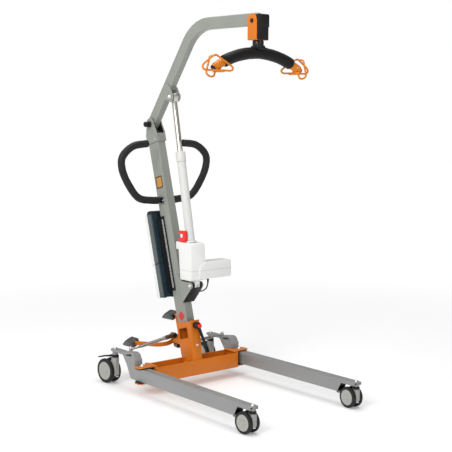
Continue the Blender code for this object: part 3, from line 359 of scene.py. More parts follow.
def soften_plain_nodes():
    """Round the edges of the CAD nodes that need nothing else."""
    for width, segments, nodes in ((0.0007, 2, "brake_pedal_left brake_pedal_right"),
            (0.0008, 2, "head_insert"), (0.0012, 2, "mast_socket"), (0.0015, 2, "box_rail"),
            (0.001, 3, "actuator_bracket"), (0.0011, 3, "mast_head"),
            (0.0012, 3, "pedal_lever clamp_lever"), (0.0014, 3, "base_channel quick_release"),
            (0.0016, 3, "bracket_wedge control_case battery_case yoke_strap"),
            (0.0022, 3, "motor_housing"), (0.0036, 4, "mast_tube"),
            (0.004, 4, "control_cover battery_cover"), (0.0042, 4, "yoke_block")):
        for node in nodes.split():
            softened(node, width, segments)


def circle(radius, sides):
    """Round section."""
    return [(radius * cos(tau * i / sides), radius * sin(tau * i / sides)) for i in range(sides)]


def rounded_rect(width, height, corner, steps=4):
    """Rectangular section with round corners."""
    points = []
    for k, (sx, sy) in enumerate(((1, 1), (-1, 1), (-1, -1), (1, -1))):
        for i in range(steps + 1):
            angle = pi / 2 * (k + i / steps)
            points.append((sx * (width / 2 - corner) + corner * cos(angle),
                sy * (height / 2 - corner) + corner * sin(angle)))
    return points


def turning_frame(base, axis):
    """Frame with z along an axis of revolution."""
    turn = axis.normalized().to_track_quat("Z", "Y").to_matrix().to_4x4()
    return Matrix.Translation(base) @ turn


def lathe(profile, base, axis, sides=40, bm=None):
    """Surface of revolution; profile is (radius, distance along the axis)."""
    place = turning_frame(base, axis)
    bm = bm or bmesh.new()
    rings = []
    for radius, along in profile:
        points = circle(radius, sides) if radius else [(0.0, 0.0)]
        rings.append([bm.verts.new(place @ Vector((a, b, along))) for a, b in points])
    for near, far in zip(rings, rings[1:]):
        for i in range(sides):
            j = (i + 1) % sides
            loop = [near[i % len(near)], near[j % len(near)], far[j % len(far)], far[i % len(far)]]
            loop = [v for k, v in enumerate(loop) if v not in loop[:k]]
            if len(loop) > 2:
                bm.faces.new(loop)
    for ring in (rings[0], rings[-1]):
        if len(ring) > 1:
            bm.faces.new(ring)
    return bm


def ring_lathe(profile, base, axis, sides=48, bm=None):
    """Surface of revolution of a closed loop, such as a tyre."""
    place = turning_frame(base, axis)
    bm = bm or bmesh.new()
    rows = [[bm.verts.new(place @ Vector((r * a, r * b, along))) for r, along in profile] for a,
        b in circle(1.0, sides)]
    for here, there in zip(rows, rows[1:] + rows[:1]):
        for k in range(len(profile)):
            m = (k + 1) % len(profile)
            bm.faces.new((here[k], there[k], there[m], here[m]))
    return bm


def stitch(bm, rings):
    """Walls between rings that have as many points each."""
    count = len(rings[0])
    for near, far in zip(rings, rings[1:]):
        for i in range(count):
            j = (i + 1) % count
            bm.faces.new((near[i], near[j], far[j], far[i]))


def sweep(path, section_at, side, bm=None):
    """Sweep a section along a path; section_at(share) gives its points there."""
    bm = bm or bmesh.new()
    rings = []
    last = len(path) - 1
    for i, spot in enumerate(path):
        ahead = (path[min(i + 1, last)] - path[max(i - 1, 0)]).normalized()
        across = (side - ahead * ahead.dot(side)).normalized()
        up = ahead.cross(across)
        rings.append([bm.verts.new(spot + across * a + up * b) for a, b in section_at(i / last)])
    stitch(bm, rings)
    bm.faces.new(list(reversed(rings[0])))
    bm.faces.new(rings[-1])
    return bm


def wire(path, radius, sides, side, bm=None):
    """Round bar of one thickness along a path."""
    return sweep(path, lambda share: circle(radius, sides), side, bm)


def curve_through(points, steps):
    """Catmull-Rom curve through points, straight at both ends."""
    points = [Vector(p) for p in points]
    ends = [points[0] * 2 - points[1]] + points + [points[-1] * 2 - points[-2]]
    line = []
    for a, b, c, d in zip(ends, ends[1:], ends[2:], ends[3:]):
        for i in range(steps):
            t = i / steps
            line.append(0.5 * (2 * b + (c - a) * t + (2 * a - 5 * b + 4 * c - d) * t * t
                               + (3 * b - a - 3 * c + d) * t ** 3))
    line.append(points[-1])
    return line


def slab(outline, place, thick, bm=None):
    """Flat outline in the x-y plane of a frame, thickened along its z."""
    bm = bm or bmesh.new()
    low, high = ([bm.verts.new(place @ Vector((a, b, level))) for a, b in outline]
        for level in (0.0, thick))
    bm.faces.new(list(reversed(low)))
    bm.faces.new(high)
    stitch(bm, (low, high))
    return bm


def turned(name, profile, base, axis, body, slot, material=None, replaces=None, sides=20, angle=34.0):
    """Piece that is one surface of revolution."""
    return add(name, lathe(profile, base, axis, sides), body, slot, material, replaces, angle)


def dome_nut(name, base, axis, radius, height, body, slot="zinc", material=DOME, replaces=None):
    """Hexagon flange with a domed cap."""
    dome = [(radius * 0.74 * cos(radians(t)), height * (0.45 + 0.55 * sin(radians(t))))
        for t in (0, 22, 44, 66)]
    bm = lathe([(radius, 0.0), (radius, height * 0.1), (radius * 0.97, height * 0.16)], base, axis, 36)
    lathe([(radius * 0.88, height * 0.12), (radius * 0.88, height * 0.4),
        (radius * 0.8, height * 0.46)], base, axis, 6, bm)
    lathe(dome + [(0.0, height)], base, axis, 32, bm)
    return add(name, bm, body, slot, material, replaces)


def nut_pair(stem, centre, reach, radius, height, body, hidden=None, slot="zinc", material=DOME):
    """Nuts at both ends of a bolt across the lift, one of which stands for its node."""
    for side, word in reversed(SIDES):
        dome_nut(f"{stem}_{word}", centre + X * side * reach, X * side, radius, height, body, slot,
            material, hidden if side < 0 else None)


# ---- castors ----
FRONT = dict(radius=0.04, inner=0.01, outer=0.024, top=0.084, plate=0.1025, depth=0.024)
REAR = dict(radius=0.05, inner=0.0105, outer=0.024, top=0.12, plate=0.1455, depth=0.027)


def castor_frame(tag):
    """Frame at the floor under a castor's stem, x along its axle, +y to its wheels."""
    stem = joint_point("castor_swivel_" + tag)
    x = joint_axis("wheel_spin_" + tag)
    return frame_of(x, Z.cross(x), Z, Vector((stem.x, stem.y, 0.0)))


def make_wheels(tag, spec, x, axle):
    """Tyres, discs with a hub boss, and the axle between them."""
    body = "wheels_" + tag
    r, inner, outer = spec["radius"], spec["inner"], spec["outer"]
    tyre, disc = bmesh.new(), bmesh.new()
    tread = [(0.735 * r, inner + 0.0005), (0.93 * r, inner), (0.975 * r, inner + 0.001),
        (0.996 * r, inner + 0.0028), (r, inner + 0.005), (r, outer - 0.0058),
        (0.996 * r, outer - 0.0034), (0.975 * r, outer - 0.0012), (0.93 * r, outer),
        (0.745 * r, outer - 0.0004)]
    face = [(0.0, 0.0016), (0.06, 0.0014), (0.11, 0.0008), (0.235, 0.0006), (0.25, -0.0006),
        (0.275, -0.0006), (0.29, 0.0004), (0.4, 0.0002), (0.412, -0.0005), (0.43, -0.0005),
        (0.442, 0.0), (0.65, -0.0003), (0.675, 0.0004), (0.72, 0.0005), (0.74, -0.001)]
    for way in (-1.0, 1.0):
        ring_lathe(tread, axle, x * way, 56, tyre)
        profile = [(share * r, outer + step) for share, step in face]
        profile += [(0.738 * r, inner + 0.001), (0.3 * r, inner + 0.0014), (0.26 * r, inner - 0.0004)]
        lathe(profile, axle, x * way, 48, disc)
    lathe([(0.0038, -inner), (0.0038, inner)], axle, x, 16, disc)
    add("tyres_" + tag, tyre, body, "tyre_black", None, "castor_wheels_" + tag, 40.0)
    add("discs_" + tag, disc, body, "castor_grey", PALE_DISC, None, 28.0)


def make_housing(tag, spec, place, trail):
    """Moulded swivel housing with its collar, stem and top nut."""
    body = "castor_" + tag
    r, top = spec["radius"], spec["top"]
    half = spec["inner"] - 0.0006
    depth = spec["depth"] / 2.0
    collar = top - 0.0085
    outline = [(-depth, 0.76 * r), (-depth + 0.004, 0.69 * r), (trail * 0.62, 0.69 * r),
        (trail + 0.011, r - 0.008), (trail + 0.011, r + 0.006), (depth + 0.003, 2.0 * r - 0.005),
        (depth, collar), (-depth, collar)]
    add("housing_" + tag, slab(outline, place @ frame_of(Y, Z, X, X * -half), 2.0 * half), body,
        "castor_grey", None, "castor_fork_" + tag, edges=(0.0036, 4))
    floor = place.translation
    ring = depth + 0.0012
    bm = lathe([(ring - 0.0012, collar - 0.0008), (ring, collar + 0.0004), (ring, top - 0.0012),
        (ring - 0.0015, top)], floor, Z, 40)
    lathe([(0.009, top), (0.0062, top + 0.0008), (0.006, spec["plate"] + 0.001)], floor, Z, 24, bm)
    add("collar_" + tag, bm, body, "black_plastic")
    dome_nut("stem_nut_" + tag, floor + Z * (spec["plate"] + 0.0003), Z, 0.0098, 0.0064, body)
    low = place @ Vector((0.0, -depth + 0.005, 0.64 * r))
    turned("housing_pin_" + tag, [(0.003, -half + 0.003), (0.003, half - 0.003)], low,
        place.to_3x3() @ X, body, "zinc", DOME, sides=16)


def make_castors():
    """Twin-wheel castors at the four ends of the legs, the rear ones with brakes."""
    for _, word in SIDES:
        for end, spec in (("front", FRONT), ("rear", REAR)):
            tag = f"{end}_{word}"
            place = castor_frame(tag)
            axle = joint_point("wheel_spin_" + tag)
            make_wheels(tag, spec, place.to_3x3() @ X, axle)
            make_housing(tag, spec, place, (place.inverted() @ axle).y)


# ---- legs and base ----
def leg_place(side, word):
    """Leg frame: x across, y along the leg, z up from the floor, at its pivot."""
    pivot = joint_point("leg_spread_" + word)
    pivot.z = 0.0
    return Matrix.Translation(pivot) @ Matrix.Rotation(side * radians(0.6), 4, "Z")


def make_leg(side, word):
    """Leg tube with its stud nut and the rivet and weld at its nose."""
    place = leg_place(side, word)
    body = "leg_" + word
    softened(body, 0.003, 3, LEG_GREY)
    stud = joint_point("tie_rod_turn_" + word)
    dome_nut("stud_nut_" + word, Vector((stud.x, stud.y, 0.1622)), Z, 0.0072, 0.0068, body)
    turned("nose_rivet_" + word, [(0.0052, 0.0), (0.0052, 0.001), (0.0038, 0.0018), (0.0, 0.0022)],
        place @ Vector((0.0, -0.6145, 0.1025)), Z, body, "grey_paint", LEG_GREY, sides=24)
    bead = wire([place @ Vector((x, -0.602, 0.0522)) for x in (-0.017, 0.0, 0.017)], 0.0013, 10, Y)
    add("nose_weld_" + word, bead, body, "grey_paint", LEG_GREY)


def make_leg_pivot(side, word):
    """Bolt, bush plates and stop of a leg's pivot on the cross channel; the stop's black block also fills the gap
    to the leg as painted shade.
    """
    pin = joint_point("leg_spread_" + word)
    dome_nut("leg_bolt_" + word, Vector((pin.x, pin.y, 0.1103)), Z, 0.011, 0.0082, "base",
        replaces="leg_pin_" + word)
    dome_nut("leg_bolt_foot_" + word, Vector((pin.x, pin.y, 0.0427)), -Z, 0.01, 0.008, "base")
    outline = [(side * x, y + SHIFT) for x, y in ((0.2115, -0.048), (0.23, -0.0435), (0.2715, -0.0435),
        (0.2795, -0.0355), (0.2795, -0.0125), (0.2715, -0.0045), (0.223, -0.0045), (0.2115, 0.013))]
    bm = slab(outline, Matrix.Translation(Z * 0.1029), 0.0026)
    slab(outline, Matrix.Translation(Z * 0.0474), 0.0046, bm)
    add("bush_" + word, bm, "base", "black_plastic", None, "leg_bush_" + word)
    # Black block in the gap between the channel's end and the leg: partly a stop, partly painted shade in the gap.
    place = Matrix.Translation((side * 0.2178, SHIFT - 0.018, 0.048))
    add("leg_stop_and_shade_" + word, slab(rounded_rect(0.0136, 0.04, 0.003), place, 0.057), "base",
        "black_plastic")


def weld(name, points, radius):
    """Painted fillet weld with a rippled bead on the base."""
    line = curve_through(points, 10)

    def section(share):
        return circle(radius * (1.0 + 0.16 * sin(share * 95.0)), 8)
    side = X if abs((line[-1] - line[0]).normalized().x) < 0.9 else Z
    add(name, sweep(line, section, side), "base", "orange_paint")


def make_base():
    """Cross channel and mast socket with their welds and the socket's bolt."""
    low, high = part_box("base_channel")
    top = 0.1052
    for side, word in SIDES:
        for y, way, spot in ((low.y, 1.0, "front"), (high.y, -1.0, "rear")):
            weld(f"ear_weld_{spot}_{word}", [(side * 0.2112, y + way * inward, top)
                for inward in (0.012, 0.03)], 0.0016)
    weld("socket_weld_front", [(x, low.y + 0.003, top + 0.0004) for x in (-0.021, 0.021)], 0.0018)
    turned("socket_bolt", [(0.006, 0.0), (0.006, 0.0016), (0.0048, 0.003), (0.0, 0.0036)],
        Vector((0.0, low.y + 0.0078, 0.165)), -Y, "base", "zinc", DOME, sides=28)


# ---- mast and push handle ----
MAST_HALF = 0.0185  # half of the mast tube's width


def mast_point(x, depth, along):
    """Point of the mast frame in the row frame."""
    return MAST @ Vector((x, depth, along))


def make_mast():
    """Mast tube, head and rail with the labels and rivet on its right face."""
    for name, lift, width, height, corner, material, slot in (("label_edge", 0.0, 0.043, 0.05, 0.004,
            SHADOW_GAP, "black_plastic"), ("label_amber", 0.0002, 0.034, 0.041, 0.003, AMBER,
            "orange_paint")):
        place = facing(mast_point(-MAST_HALF - lift, 0.003, 0.634), -X, MAST_UP)
        add(name, slab(rounded_rect(width, height, corner, 5), place, 0.0002), "mast", slot, material)
    diamond = [(0.0, 0.0215), (-0.0165, 0.0085), (-0.0195, -0.002), (0.0, -0.0205), (0.0195, -0.002),
        (0.0165, 0.0085)]
    place = facing(mast_point(-MAST_HALF, 0.0, 0.075), -X, MAST_UP)
    add("label_diamond", slab(diamond, place, 0.0003), "mast", "red_plastic", RED_MARK)
    turned("head_rivet", [(0.003, 0.0), (0.003, 0.0006), (0.0022, 0.0012), (0.0, 0.0014)],
        mast_point(-0.0228, -0.02, 0.812), -X, "mast", "zinc", DOME)


def make_bracket():
    """Pin, spacers, front plate and screws of the bracket at the ram's foot."""
    foot = joint_point("ram_tilt")
    nut_pair("foot_pin", foot, 0.0293, 0.0095, 0.0075, "mast", "actuator_lower_pin")
    bm = bmesh.new()
    for way in (-1.0, 1.0):
        ring_lathe([(0.0063, 0.0124), (0.0108, 0.0124), (0.0112, 0.0132), (0.0112, 0.0236),
            (0.0104, 0.0246), (0.0063, 0.0246)], foot, X * way, 36, bm)
    add("foot_spacers", bm, "mast", "black_plastic")
    nut_pair("sleeve_bolt", Vector((0.0, SHIFT + 0.1543, 0.7375)), 0.0219, 0.0032, 0.0032, "mast")
    top, low = Vector((0.0, SHIFT - 0.0475, 0.3985)), Vector((0.0, SHIFT + 0.0085, 0.3325))
    place = facing((top + low) / 2, (top - low).cross(X), top - low)
    plate = rounded_rect(0.057, (top - low).length, 0.002)
    add("bracket_front", slab(plate, place, 0.0025), "mast", "black_plastic", edges=(0.0006, 2))
    for along, level in ((0.156, "low"), (0.226, "top")):
        for side, word in reversed(SIDES):
            turned(f"bracket_screw_{word}_{level}", [(0.0042, 0.0), (0.0042, 0.0008), (0.003, 0.0016),
                (0.0, 0.0019)], mast_point(side * 0.021, -0.0378,
                along), -MAST_BACK, "mast", "zinc", DOME)


def make_boom_knob():
    """Lobed knob on the boom pivot, with its washer, shaft and the nut opposite."""
    cheek = 0.0228  # outer face of the mast head's cheek
    start, stop = cheek + 0.008, cheek + 0.0262
    lobes, sides = 10, 60
    bm = bmesh.new()
    swells = [1.0 + 0.035 * cos(lobes * tau * i / sides) for i in range(sides)]
    rings = [[bm.verts.new(BOOM_PIVOT + Vector((-along, a * swell, b * swell))) for (a, b),
        swell in zip(circle(radius, sides), swells)] for radius, along in ((0.01, start),
        (0.0108, start + 0.001), (0.011, stop - 0.004), (0.0102, stop - 0.001), (0.0082, stop))]
    stitch(bm, rings)
    bm.faces.new(rings[0])
    bm.faces.new(rings[-1])
    lathe([(0.0124, cheek + 0.0004), (0.0127, cheek + 0.0012), (0.0127, cheek + 0.0068),
        (0.0115, cheek + 0.008), (0.009, cheek + 0.0084)], BOOM_PIVOT, -X, 40, bm)
    lathe([(0.005, -cheek - 0.0002), (0.005, cheek)], BOOM_PIVOT, X, 20, bm)
    add("boom_knob_body", bm, "boom_knob", "black_plastic", None, "boom_knob")
    dome_nut("boom_knob_nut", BOOM_PIVOT + X * (cheek + 0.0004), X, 0.0088, 0.0068, "boom_knob")


def handle_line(side):
    """Centre line of one half of the push handle, from the mast outwards."""
    points = ((0.0, 0.737), (0.07, 0.739), (0.136, 0.753), (0.186, 0.812), (0.214, 0.872),
        (0.211, 0.921), (0.161, 0.961), (0.091, 0.971))
    return curve_through([(side * x, 0.168 + SHIFT, z) for x, z in points], 8)


def evenly(path, count):
    """Points at even steps along a path, and its length."""
    reach = [0.0]
    for a, b in zip(path, path[1:]):
        reach.append(reach[-1] + (b - a).length)
    points = []
    for i in range(count + 1):
        goal = reach[-1] * i / count
        k = max(j for j, at in enumerate(reach[:-1]) if at <= goal + 1e-9)
        points.append(path[k].lerp(path[k + 1], (goal - reach[k]) / (reach[k + 1] - reach[k])))
    return points, reach[-1]


def make_grip(word, side, line):
    """Foam grip over one half of the handle, with a cap on its open end."""
    run = (line[-1] - line[-2]).normalized()
    start = Vector((side * 0.0365, line[0].y, 0.7375))
    path = [start] + [p for p in line if abs(p.x) > 0.041] + [line[-1] + run * 0.0028]
    fine, total = evenly(path, 140)

    def section(share):
        pull = max(0.0, 1.0 - min(share, 1.0 - share) * total / 0.0035)
        swell = 0.00018 * sin(share * 37.0) + 0.00012 * sin(share * 91.0)
        return circle(0.0151 + swell - 0.003 * (1.0 - sqrt(1.0 - pull * pull)), 36)
    grip = add("grip_foam_" + word, sweep(fine, section, Y), "mast", "black_foam", None,
        "handle_grip_" + word, 50.0)
    turned("handle_end_" + word, [(0.01, 0.0), (0.01, 0.0004), (0.0085, 0.0012), (0.0, 0.0016)],
        line[-1] + run * 0.0024, run, "mast", "black_plastic", sides=28)


def make_handle():
    """Push handle: one bent bar, its two grips and the sleeve on the mast."""
    left, right = handle_line(1.0), handle_line(-1.0)
    bar = list(reversed(right))[:-1] + left
    add("handle_bar_tube", wire(bar, 0.011, 20, Y), "mast", "black_paint", None, "handle_bar")
    make_grip("left", 1.0, left)
    make_grip("right", -1.0, right)
    softened("handle_sleeve", 0.0012, 3, CASE_SIDE_LIT)


# ---- battery and control box ----
# In the mast frame: widths along x, depths along y, heights along z.
BOX_HALF = 0.054  # half of the box's width
BOX_FRONT, BOX_SEAM, BOX_BACK = 0.046, 0.078, 0.1
BOX_LOW, BOX_SPLIT, BOX_TOP = 0.164, 0.304, 0.514
FLANGE = 0.0216  # outer face of the rail's flanges


def make_box_sides():
    """Ribs, side panels and cap of the boxes, and the coil along the rail."""
    bm = bmesh.new()
    for way in (-1.0, 1.0):
        for i in range(16):
            along = BOX_SPLIT + 0.028 + i * 0.0095
            wire([mast_point(way * (BOX_HALF - inset), BOX_FRONT - 0.0006, along)
                for inset in (0.016, 0.006)], 0.0013, 8, MAST_UP, bm)
    add("battery_ribs", bm, "battery", "dark_case")
    # Side panels carry the lighter, lit copy of the case colour: painted light.
    for word, body, low, high in (("control", "mast", BOX_LOW, BOX_SPLIT),
            ("battery", "battery", BOX_SPLIT, BOX_TOP)):
        bm = bmesh.new()
        for way in (-1.0, 1.0):
            middle = mast_point(way * BOX_HALF, (BOX_FRONT + BOX_SEAM) / 2, (low + high) / 2)
            slab(rounded_rect(BOX_SEAM - BOX_FRONT - 0.009, high - low - 0.009, 0.003),
                facing(middle, X * way, MAST_UP), 0.0003, bm)
        add(word + "_side_panel", bm, body, "dark_case", CASE_SIDE_LIT)
    bm = bmesh.new()
    for way in (-1.0, 1.0):
        for throw in (0.0042, -0.0042):
            wire([mast_point(way * FLANGE, 0.0195 + throw * sin(pi * k / 6.5), 0.196 + 0.002 * k)
                for k in range(144)], 0.001, 8, X, bm)
    add("rail_coil", bm, "mast", "black_plastic", COIL)
    outline = [(0.0, BOX_FRONT + 0.002), (0.0, BOX_BACK - 0.016), (0.011, BOX_BACK - 0.026),
        (0.011, BOX_FRONT + 0.01), (0.004, BOX_FRONT + 0.002)]
    place = MAST @ frame_of(Z, Y, X, Vector((-0.051, 0.0, BOX_TOP)))
    add("battery_cap", slab(outline, place, 0.102), "battery", "dark_case", M["black_plastic"],
        edges=(0.0012, 2))


def back_plate(width, height, corner, thick, x, along, lift=0.0, steps=5):
    """Plate with round corners on the back of the box."""
    place = facing(mast_point(x, BOX_BACK + lift, along), MAST_BACK, MAST_UP)
    return slab(rounded_rect(width, height, corner, steps), place, thick)


def make_box():
    """Battery and control box with their latch, lights, keys and stop button."""
    make_box_sides()
    add("battery_latch", back_plate(0.07, 0.02, 0.006, 0.0016, 0.0, BOX_TOP - 0.045, steps=6),
        "battery", "dark_case", M["black_plastic"], edges=(0.0006, 2))
    for k in range(4):
        turned(f"charge_light_{k + 1}", [(0.0022, 0.0), (0.0022, 0.0005), (0.0, 0.0009)],
            mast_point(-0.015 + 0.01 * k, BOX_BACK - 0.0002, BOX_TOP - 0.08), MAST_BACK, "battery",
            "dark_case", GREEN_LIGHT)
    keys = BOX_LOW + 0.04
    add("control_panel", back_plate(0.06, 0.026, 0.004, 0.0005, -0.012, keys), "mast", "dark_case")
    for k in range(2):
        add(f"panel_key_{k + 1}", back_plate(0.014, 0.009, 0.003, 0.001, -0.028 + 0.022 * k, keys,
            0.0005), "mast", "castor_grey")
    spot = mast_point(0.025, BOX_BACK, 0.27)
    bm = ring_lathe([(0.0135, 0.0), (0.0165, 0.0), (0.0165, 0.0012), (0.0135, 0.0012)], spot, MAST_BACK,
        40)
    add("stop_ring", bm, "mast", "orange_paint", AMBER)
    turned("stop_cap", [(0.0052, -0.006), (0.0052, 0.0045), (0.0105, 0.0045), (0.0119, 0.0056),
        (0.012, 0.008), (0.0112, 0.0108), (0.009, 0.0124),
        (0.0, 0.013)], spot, MAST_BACK, "stop_button", "red_plastic", None, "stop_button", 40)
    bm = bmesh.new()
    for x in (-0.04, 0.0, 0.04):
        ring_lathe([(0.0045, 0.0), (0.007, 0.0), (0.007, 0.0022), (0.0045, 0.0022)],
            mast_point(x, (BOX_FRONT + BOX_SEAM) / 2, BOX_LOW), -MAST_UP, 28, bm)
    add("socket_row", bm, "mast", "black_plastic")


# ---- ram ----
def seam_line(corners, z):
    """Line round the outer corners of the housing at one height."""
    radius = 0.0024
    corners = [Vector((x, y + SHIFT, z)) for x, y in corners]
    line = [corners[0]]
    for a, b, c in zip(corners, corners[1:], corners[2:]):
        into, out = (b - a).normalized(), (c - b).normalized()
        if min((b - a).length, (c - b).length) < 2 * radius:
            line.append(b)
            continue
        for k in range(7):
            turn = pi / 2 * k / 6
            line.append(b - into * radius * (1 - sin(turn)) + out * radius * (1 - cos(turn)))
    return line + [corners[-1]]


def make_motor():
    """Motor housing with its lug band, parting line, quick release and tube seat."""
    softened("rod_eye", 0.0016, 3, M["zinc"])
    lug = ring_lathe([(0.0119, -0.0085), (0.0124, -0.0085), (0.0124, 0.0085), (0.0119, 0.0085)],
        joint_point("ram_tilt"), X, 40)
    add("lug_band", lug, "actuator", "white_plastic", M["zinc"])
    left, inner, right, front, arm_front = -0.0387, 0.004, 0.1667, -0.0577, -0.0613
    line = seam_line(((left, 0.018), (left, front), (inner, front), (inner, arm_front),
        (right, arm_front), (right, -0.001)), 0.468)
    add("housing_seam", wire(line, 0.0005, 8, Z), "actuator", "white_plastic", SEAM_GREY)


def make_ram():
    """Outer tube, collar, rod and head pin of the ram."""
    base = RAM.translation
    up = RAM.to_3x3() @ Z
    seat = RAM.inverted() @ Vector((0, base.y + 0.0335, 0.5794))
    start, end = seat.z, 0.501  # ends of the outer tube
    bore = 0.0116
    bm = ring_lathe([(bore, start + 0.004), (0.0172, start + 0.004), (0.018, start + 0.005),
        (0.018, end - 0.0006), (0.0174, end), (bore, end)], base, up, 48)
    add("ram_tube", bm, "actuator", "white_plastic", TUBE_WHITE, "actuator_tube")
    bm = ring_lathe([(bore, end + 0.0004), (0.0188, end + 0.0004), (0.0198, end + 0.0016),
        (0.0198, 0.5355), (0.0192, 0.5385), (0.0178, 0.541), (0.014, 0.5412), (0.0138, 0.5395),
        (bore, 0.5395)], base, up, 48)
    ring_lathe([(0.0197, end + 0.006), (0.0201, end + 0.0066), (0.0201, end + 0.008),
        (0.0197, end + 0.0086)], base, up, 48, bm)
    add("ram_collar", bm, "actuator", "white_plastic", TUBE_WHITE, "tube_collar")
    low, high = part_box("rod_pin")
    head = (low + high) / 2
    reach = (head - base).length
    turned("ram_rod", [(0.0104, 0.43), (0.011, 0.4306), (0.011, reach - 0.0235),
        (0.0102, reach - 0.0222)], base, up, "rod", "chrome", None, "lift_rod", 48)
    nut_pair("head_pin", head, 0.0206, 0.0095, 0.01, "boom", "rod_pin")
    turned("head_pin_shank", [(0.006, -0.0206), (0.006, 0.0206)], head, X, "boom", "zinc", sides=24)
    bm = ring_lathe([(0.0188, -0.0022), (0.0235, -0.0022), (0.0235, 0.003), (0.0205, 0.0046),
        (0.0188, 0.0046)], base + up * start, up, 48)
    add("tube_seat", bm, "actuator", "white_plastic")


def make_cable():
    """Motor cable: a short loop held at both ends."""
    route = ((0.066, -0.034, 0.4286), (0.066, -0.033, 0.41), (0.062, -0.028, 0.388),
        (0.05, -0.018, 0.377), (0.038, -0.004, 0.374), (0.0335, 0.01, 0.366),
        (0.033, 0.018, 0.348))
    line = curve_through([(x, y + SHIFT, z) for x, y, z in route], 8)
    bm = wire(line, 0.0025, 14, Vector((1.0, 0.3, 0.0)))
    cable = add("cable_loop", bm, "actuator", "cable_black", None, "motor_cable")
    turned("cable_relief", [(0.0048, 0.0), (0.0046, 0.003), (0.0031, 0.02), (0.0028, 0.021)],
        line[0] + Z * 0.0006, line[1] - line[0], "actuator", "cable_black", sides=24)


# ---- boom and yoke ----
BOOM_DEPTH = 0.046


def boom_line():
    """Centre line of the boom: a raked run, a bend and a level run."""
    rise = radians(53.85)
    bend, set_back, top = 0.172, 0.0057, 1.4625
    run = Vector((0.0, -cos(rise), sin(rise)))
    out = Vector((0.0, sin(rise), cos(rise)))
    foot = BOOM_PIVOT + out * set_back
    level = top - BOOM_DEPTH / 2.0
    knee = foot + run * ((level - foot.z) / run.z)
    start = knee - run * (bend * tan(rise / 2.0))
    centre = start - out * bend
    path = [foot - run * 0.018, foot - run * 0.016]
    for i in range(33):
        path.append(centre + Matrix.Rotation(rise * i / 32, 3, "X") @ (out * bend))
    return path + [Vector((0.0, YOKE_BOLT.y - short, level)) for short in (0.001, 0.0105)]


def make_boom():
    """Boom tube with its bracket, and the yoke at its end."""
    line = boom_line()
    last = len(line) - 1

    def section(share):
        i = round(share * last)
        inset = 0.0014 if i in (0, last) else 0.0
        height = BOOM_DEPTH - (0.02 if i == last else inset)
        return rounded_rect(0.03 - inset, height, 0.0042, 4)
    add("boom_arm", sweep(line, section, X), "boom", "grey_paint", None, "boom_tube", 40.0)
    softened("boom_bracket", 0.0012, 3, M["grey_paint"])
    outline = [(-0.0335, -0.0235), (-0.0335, 0.015), (-0.0325, 0.02), (-0.03, 0.0232),
        (-0.0268, 0.0245), (-0.0268, -0.0235)]
    half = 0.0264
    add("yoke_cap", slab(outline, frame_of(Y, Z, X, YOKE_BOLT - X * half), 2.0 * half), "yoke",
        "black_plastic", edges=(0.001, 3))
    nut_pair("yoke_bolt", YOKE_BOLT, 0.0303, 0.0086, 0.0062, "boom", "yoke_bolt", "black_paint",
        M["black_paint"])


# ---- sling bar ----
BAR_RADIUS = 0.395
BAR_TOP = 1.317
FOAM_REACH = 0.165  # half of the foam's length


def bar_point(x):
    """Centre of the sling bar at a distance from the middle."""
    return Vector((x, BAR_Y, BAR_TOP - BAR_RADIUS + sqrt(BAR_RADIUS ** 2 - x * x)))


def bar_line(x0, x1, steps):
    """Points along the arc of the bar."""
    return [bar_point(x0 + (x1 - x0) * i / steps) for i in range(steps + 1)]


def foam_section(share):
    """Section of the bar's foam: pulled in at its ends and squeezed under the hub."""
    length = 2.0 * FOAM_REACH
    pull = max(0.0, 1.0 - min(share, 1.0 - share) * length / 0.005)
    squeeze = 0.001 * exp(-((share - 0.5) * length / 0.02) ** 2)
    swell = 0.00022 * sin(share * 29.0) + 0.00016 * sin(share * 83.0)
    return circle(0.0218 + swell - squeeze - 0.0045 * (1.0 - sqrt(1.0 - pull * pull)), 40)


def hook_lines(side):
    """Centre lines of the two bent wires at one end of the bar."""
    near = BAR_Y + side * 0.0265
    far = -side * 0.0185
    triangle = [(0.195, 1.2485), (0.24, 1.2485), (0.27, 1.2495), (0.28, 1.259), (0.274, 1.27),
        (0.25, 1.287), (0.23, 1.3), (0.22, 1.302), (0.208, 1.297), (0.175, 1.279),
        (0.148, 1.2645), (0.142, 1.2555), (0.152, 1.2485), (0.186, 1.2485)]
    low = [(0.22, side * 0.0265, 1.301), (0.219, side * 0.01, 1.3), (0.218, far * 0.6, 1.296),
        (0.217, far, 1.279), (0.225, far, 1.253), (0.226, far, 1.238), (0.211, far, 1.2285),
        (0.194, far, 1.23), (0.186, far, 1.248)]
    return [curve_through([(side * x, near, z) for x, z in triangle], 8),
        curve_through([(side * x, BAR_Y + y, z) for x, y, z in low], 8)]


HOOK = ("spreader", "orange_paint", HOOK_COAT)


def make_hook(side, word):
    """Collar, block, wires and end plug at one end of the bar."""
    bm = sweep(bar_line(side * 0.1672, side * 0.204, 10),
        lambda share: circle(0.016 if 0.02 < share < 0.98 else 0.0152, 32), Y)
    add("hook_collar_" + word, bm, *HOOK)
    middle = bar_point(side * 0.19)
    place = Matrix.Translation(middle + Vector((0.0, side * 0.00425, -0.026)))
    bm = slab(rounded_rect(0.016, 0.0535, 0.004), place, 0.0098)
    slab(rounded_rect(0.0155, 0.022, 0.003), Matrix.Translation(middle - Z * 0.0245), 0.016, bm)
    add("hook_block_" + word, bm, *HOOK, edges=(0.0018, 3))
    ways = (Y, Vector((0.7, side * 0.6, 0.3)))
    for k, line in enumerate(hook_lines(side)):
        add(f"hook_wire_{word}_{k + 1}", wire(line, 0.0036, 16, ways[k]), *HOOK)
    end = bar_point(side * 0.21)
    turned("bar_plug_" + word, [(0.0124, 0.0003), (0.0125, 0.001), (0.012, 0.0022),
                                (0.01, 0.0036), (0.0, 0.0042)],
           end, end - bar_point(side * 0.21 * 0.93), "spreader", "black_plastic", None,
           "spreader_plug_" + word, 36)


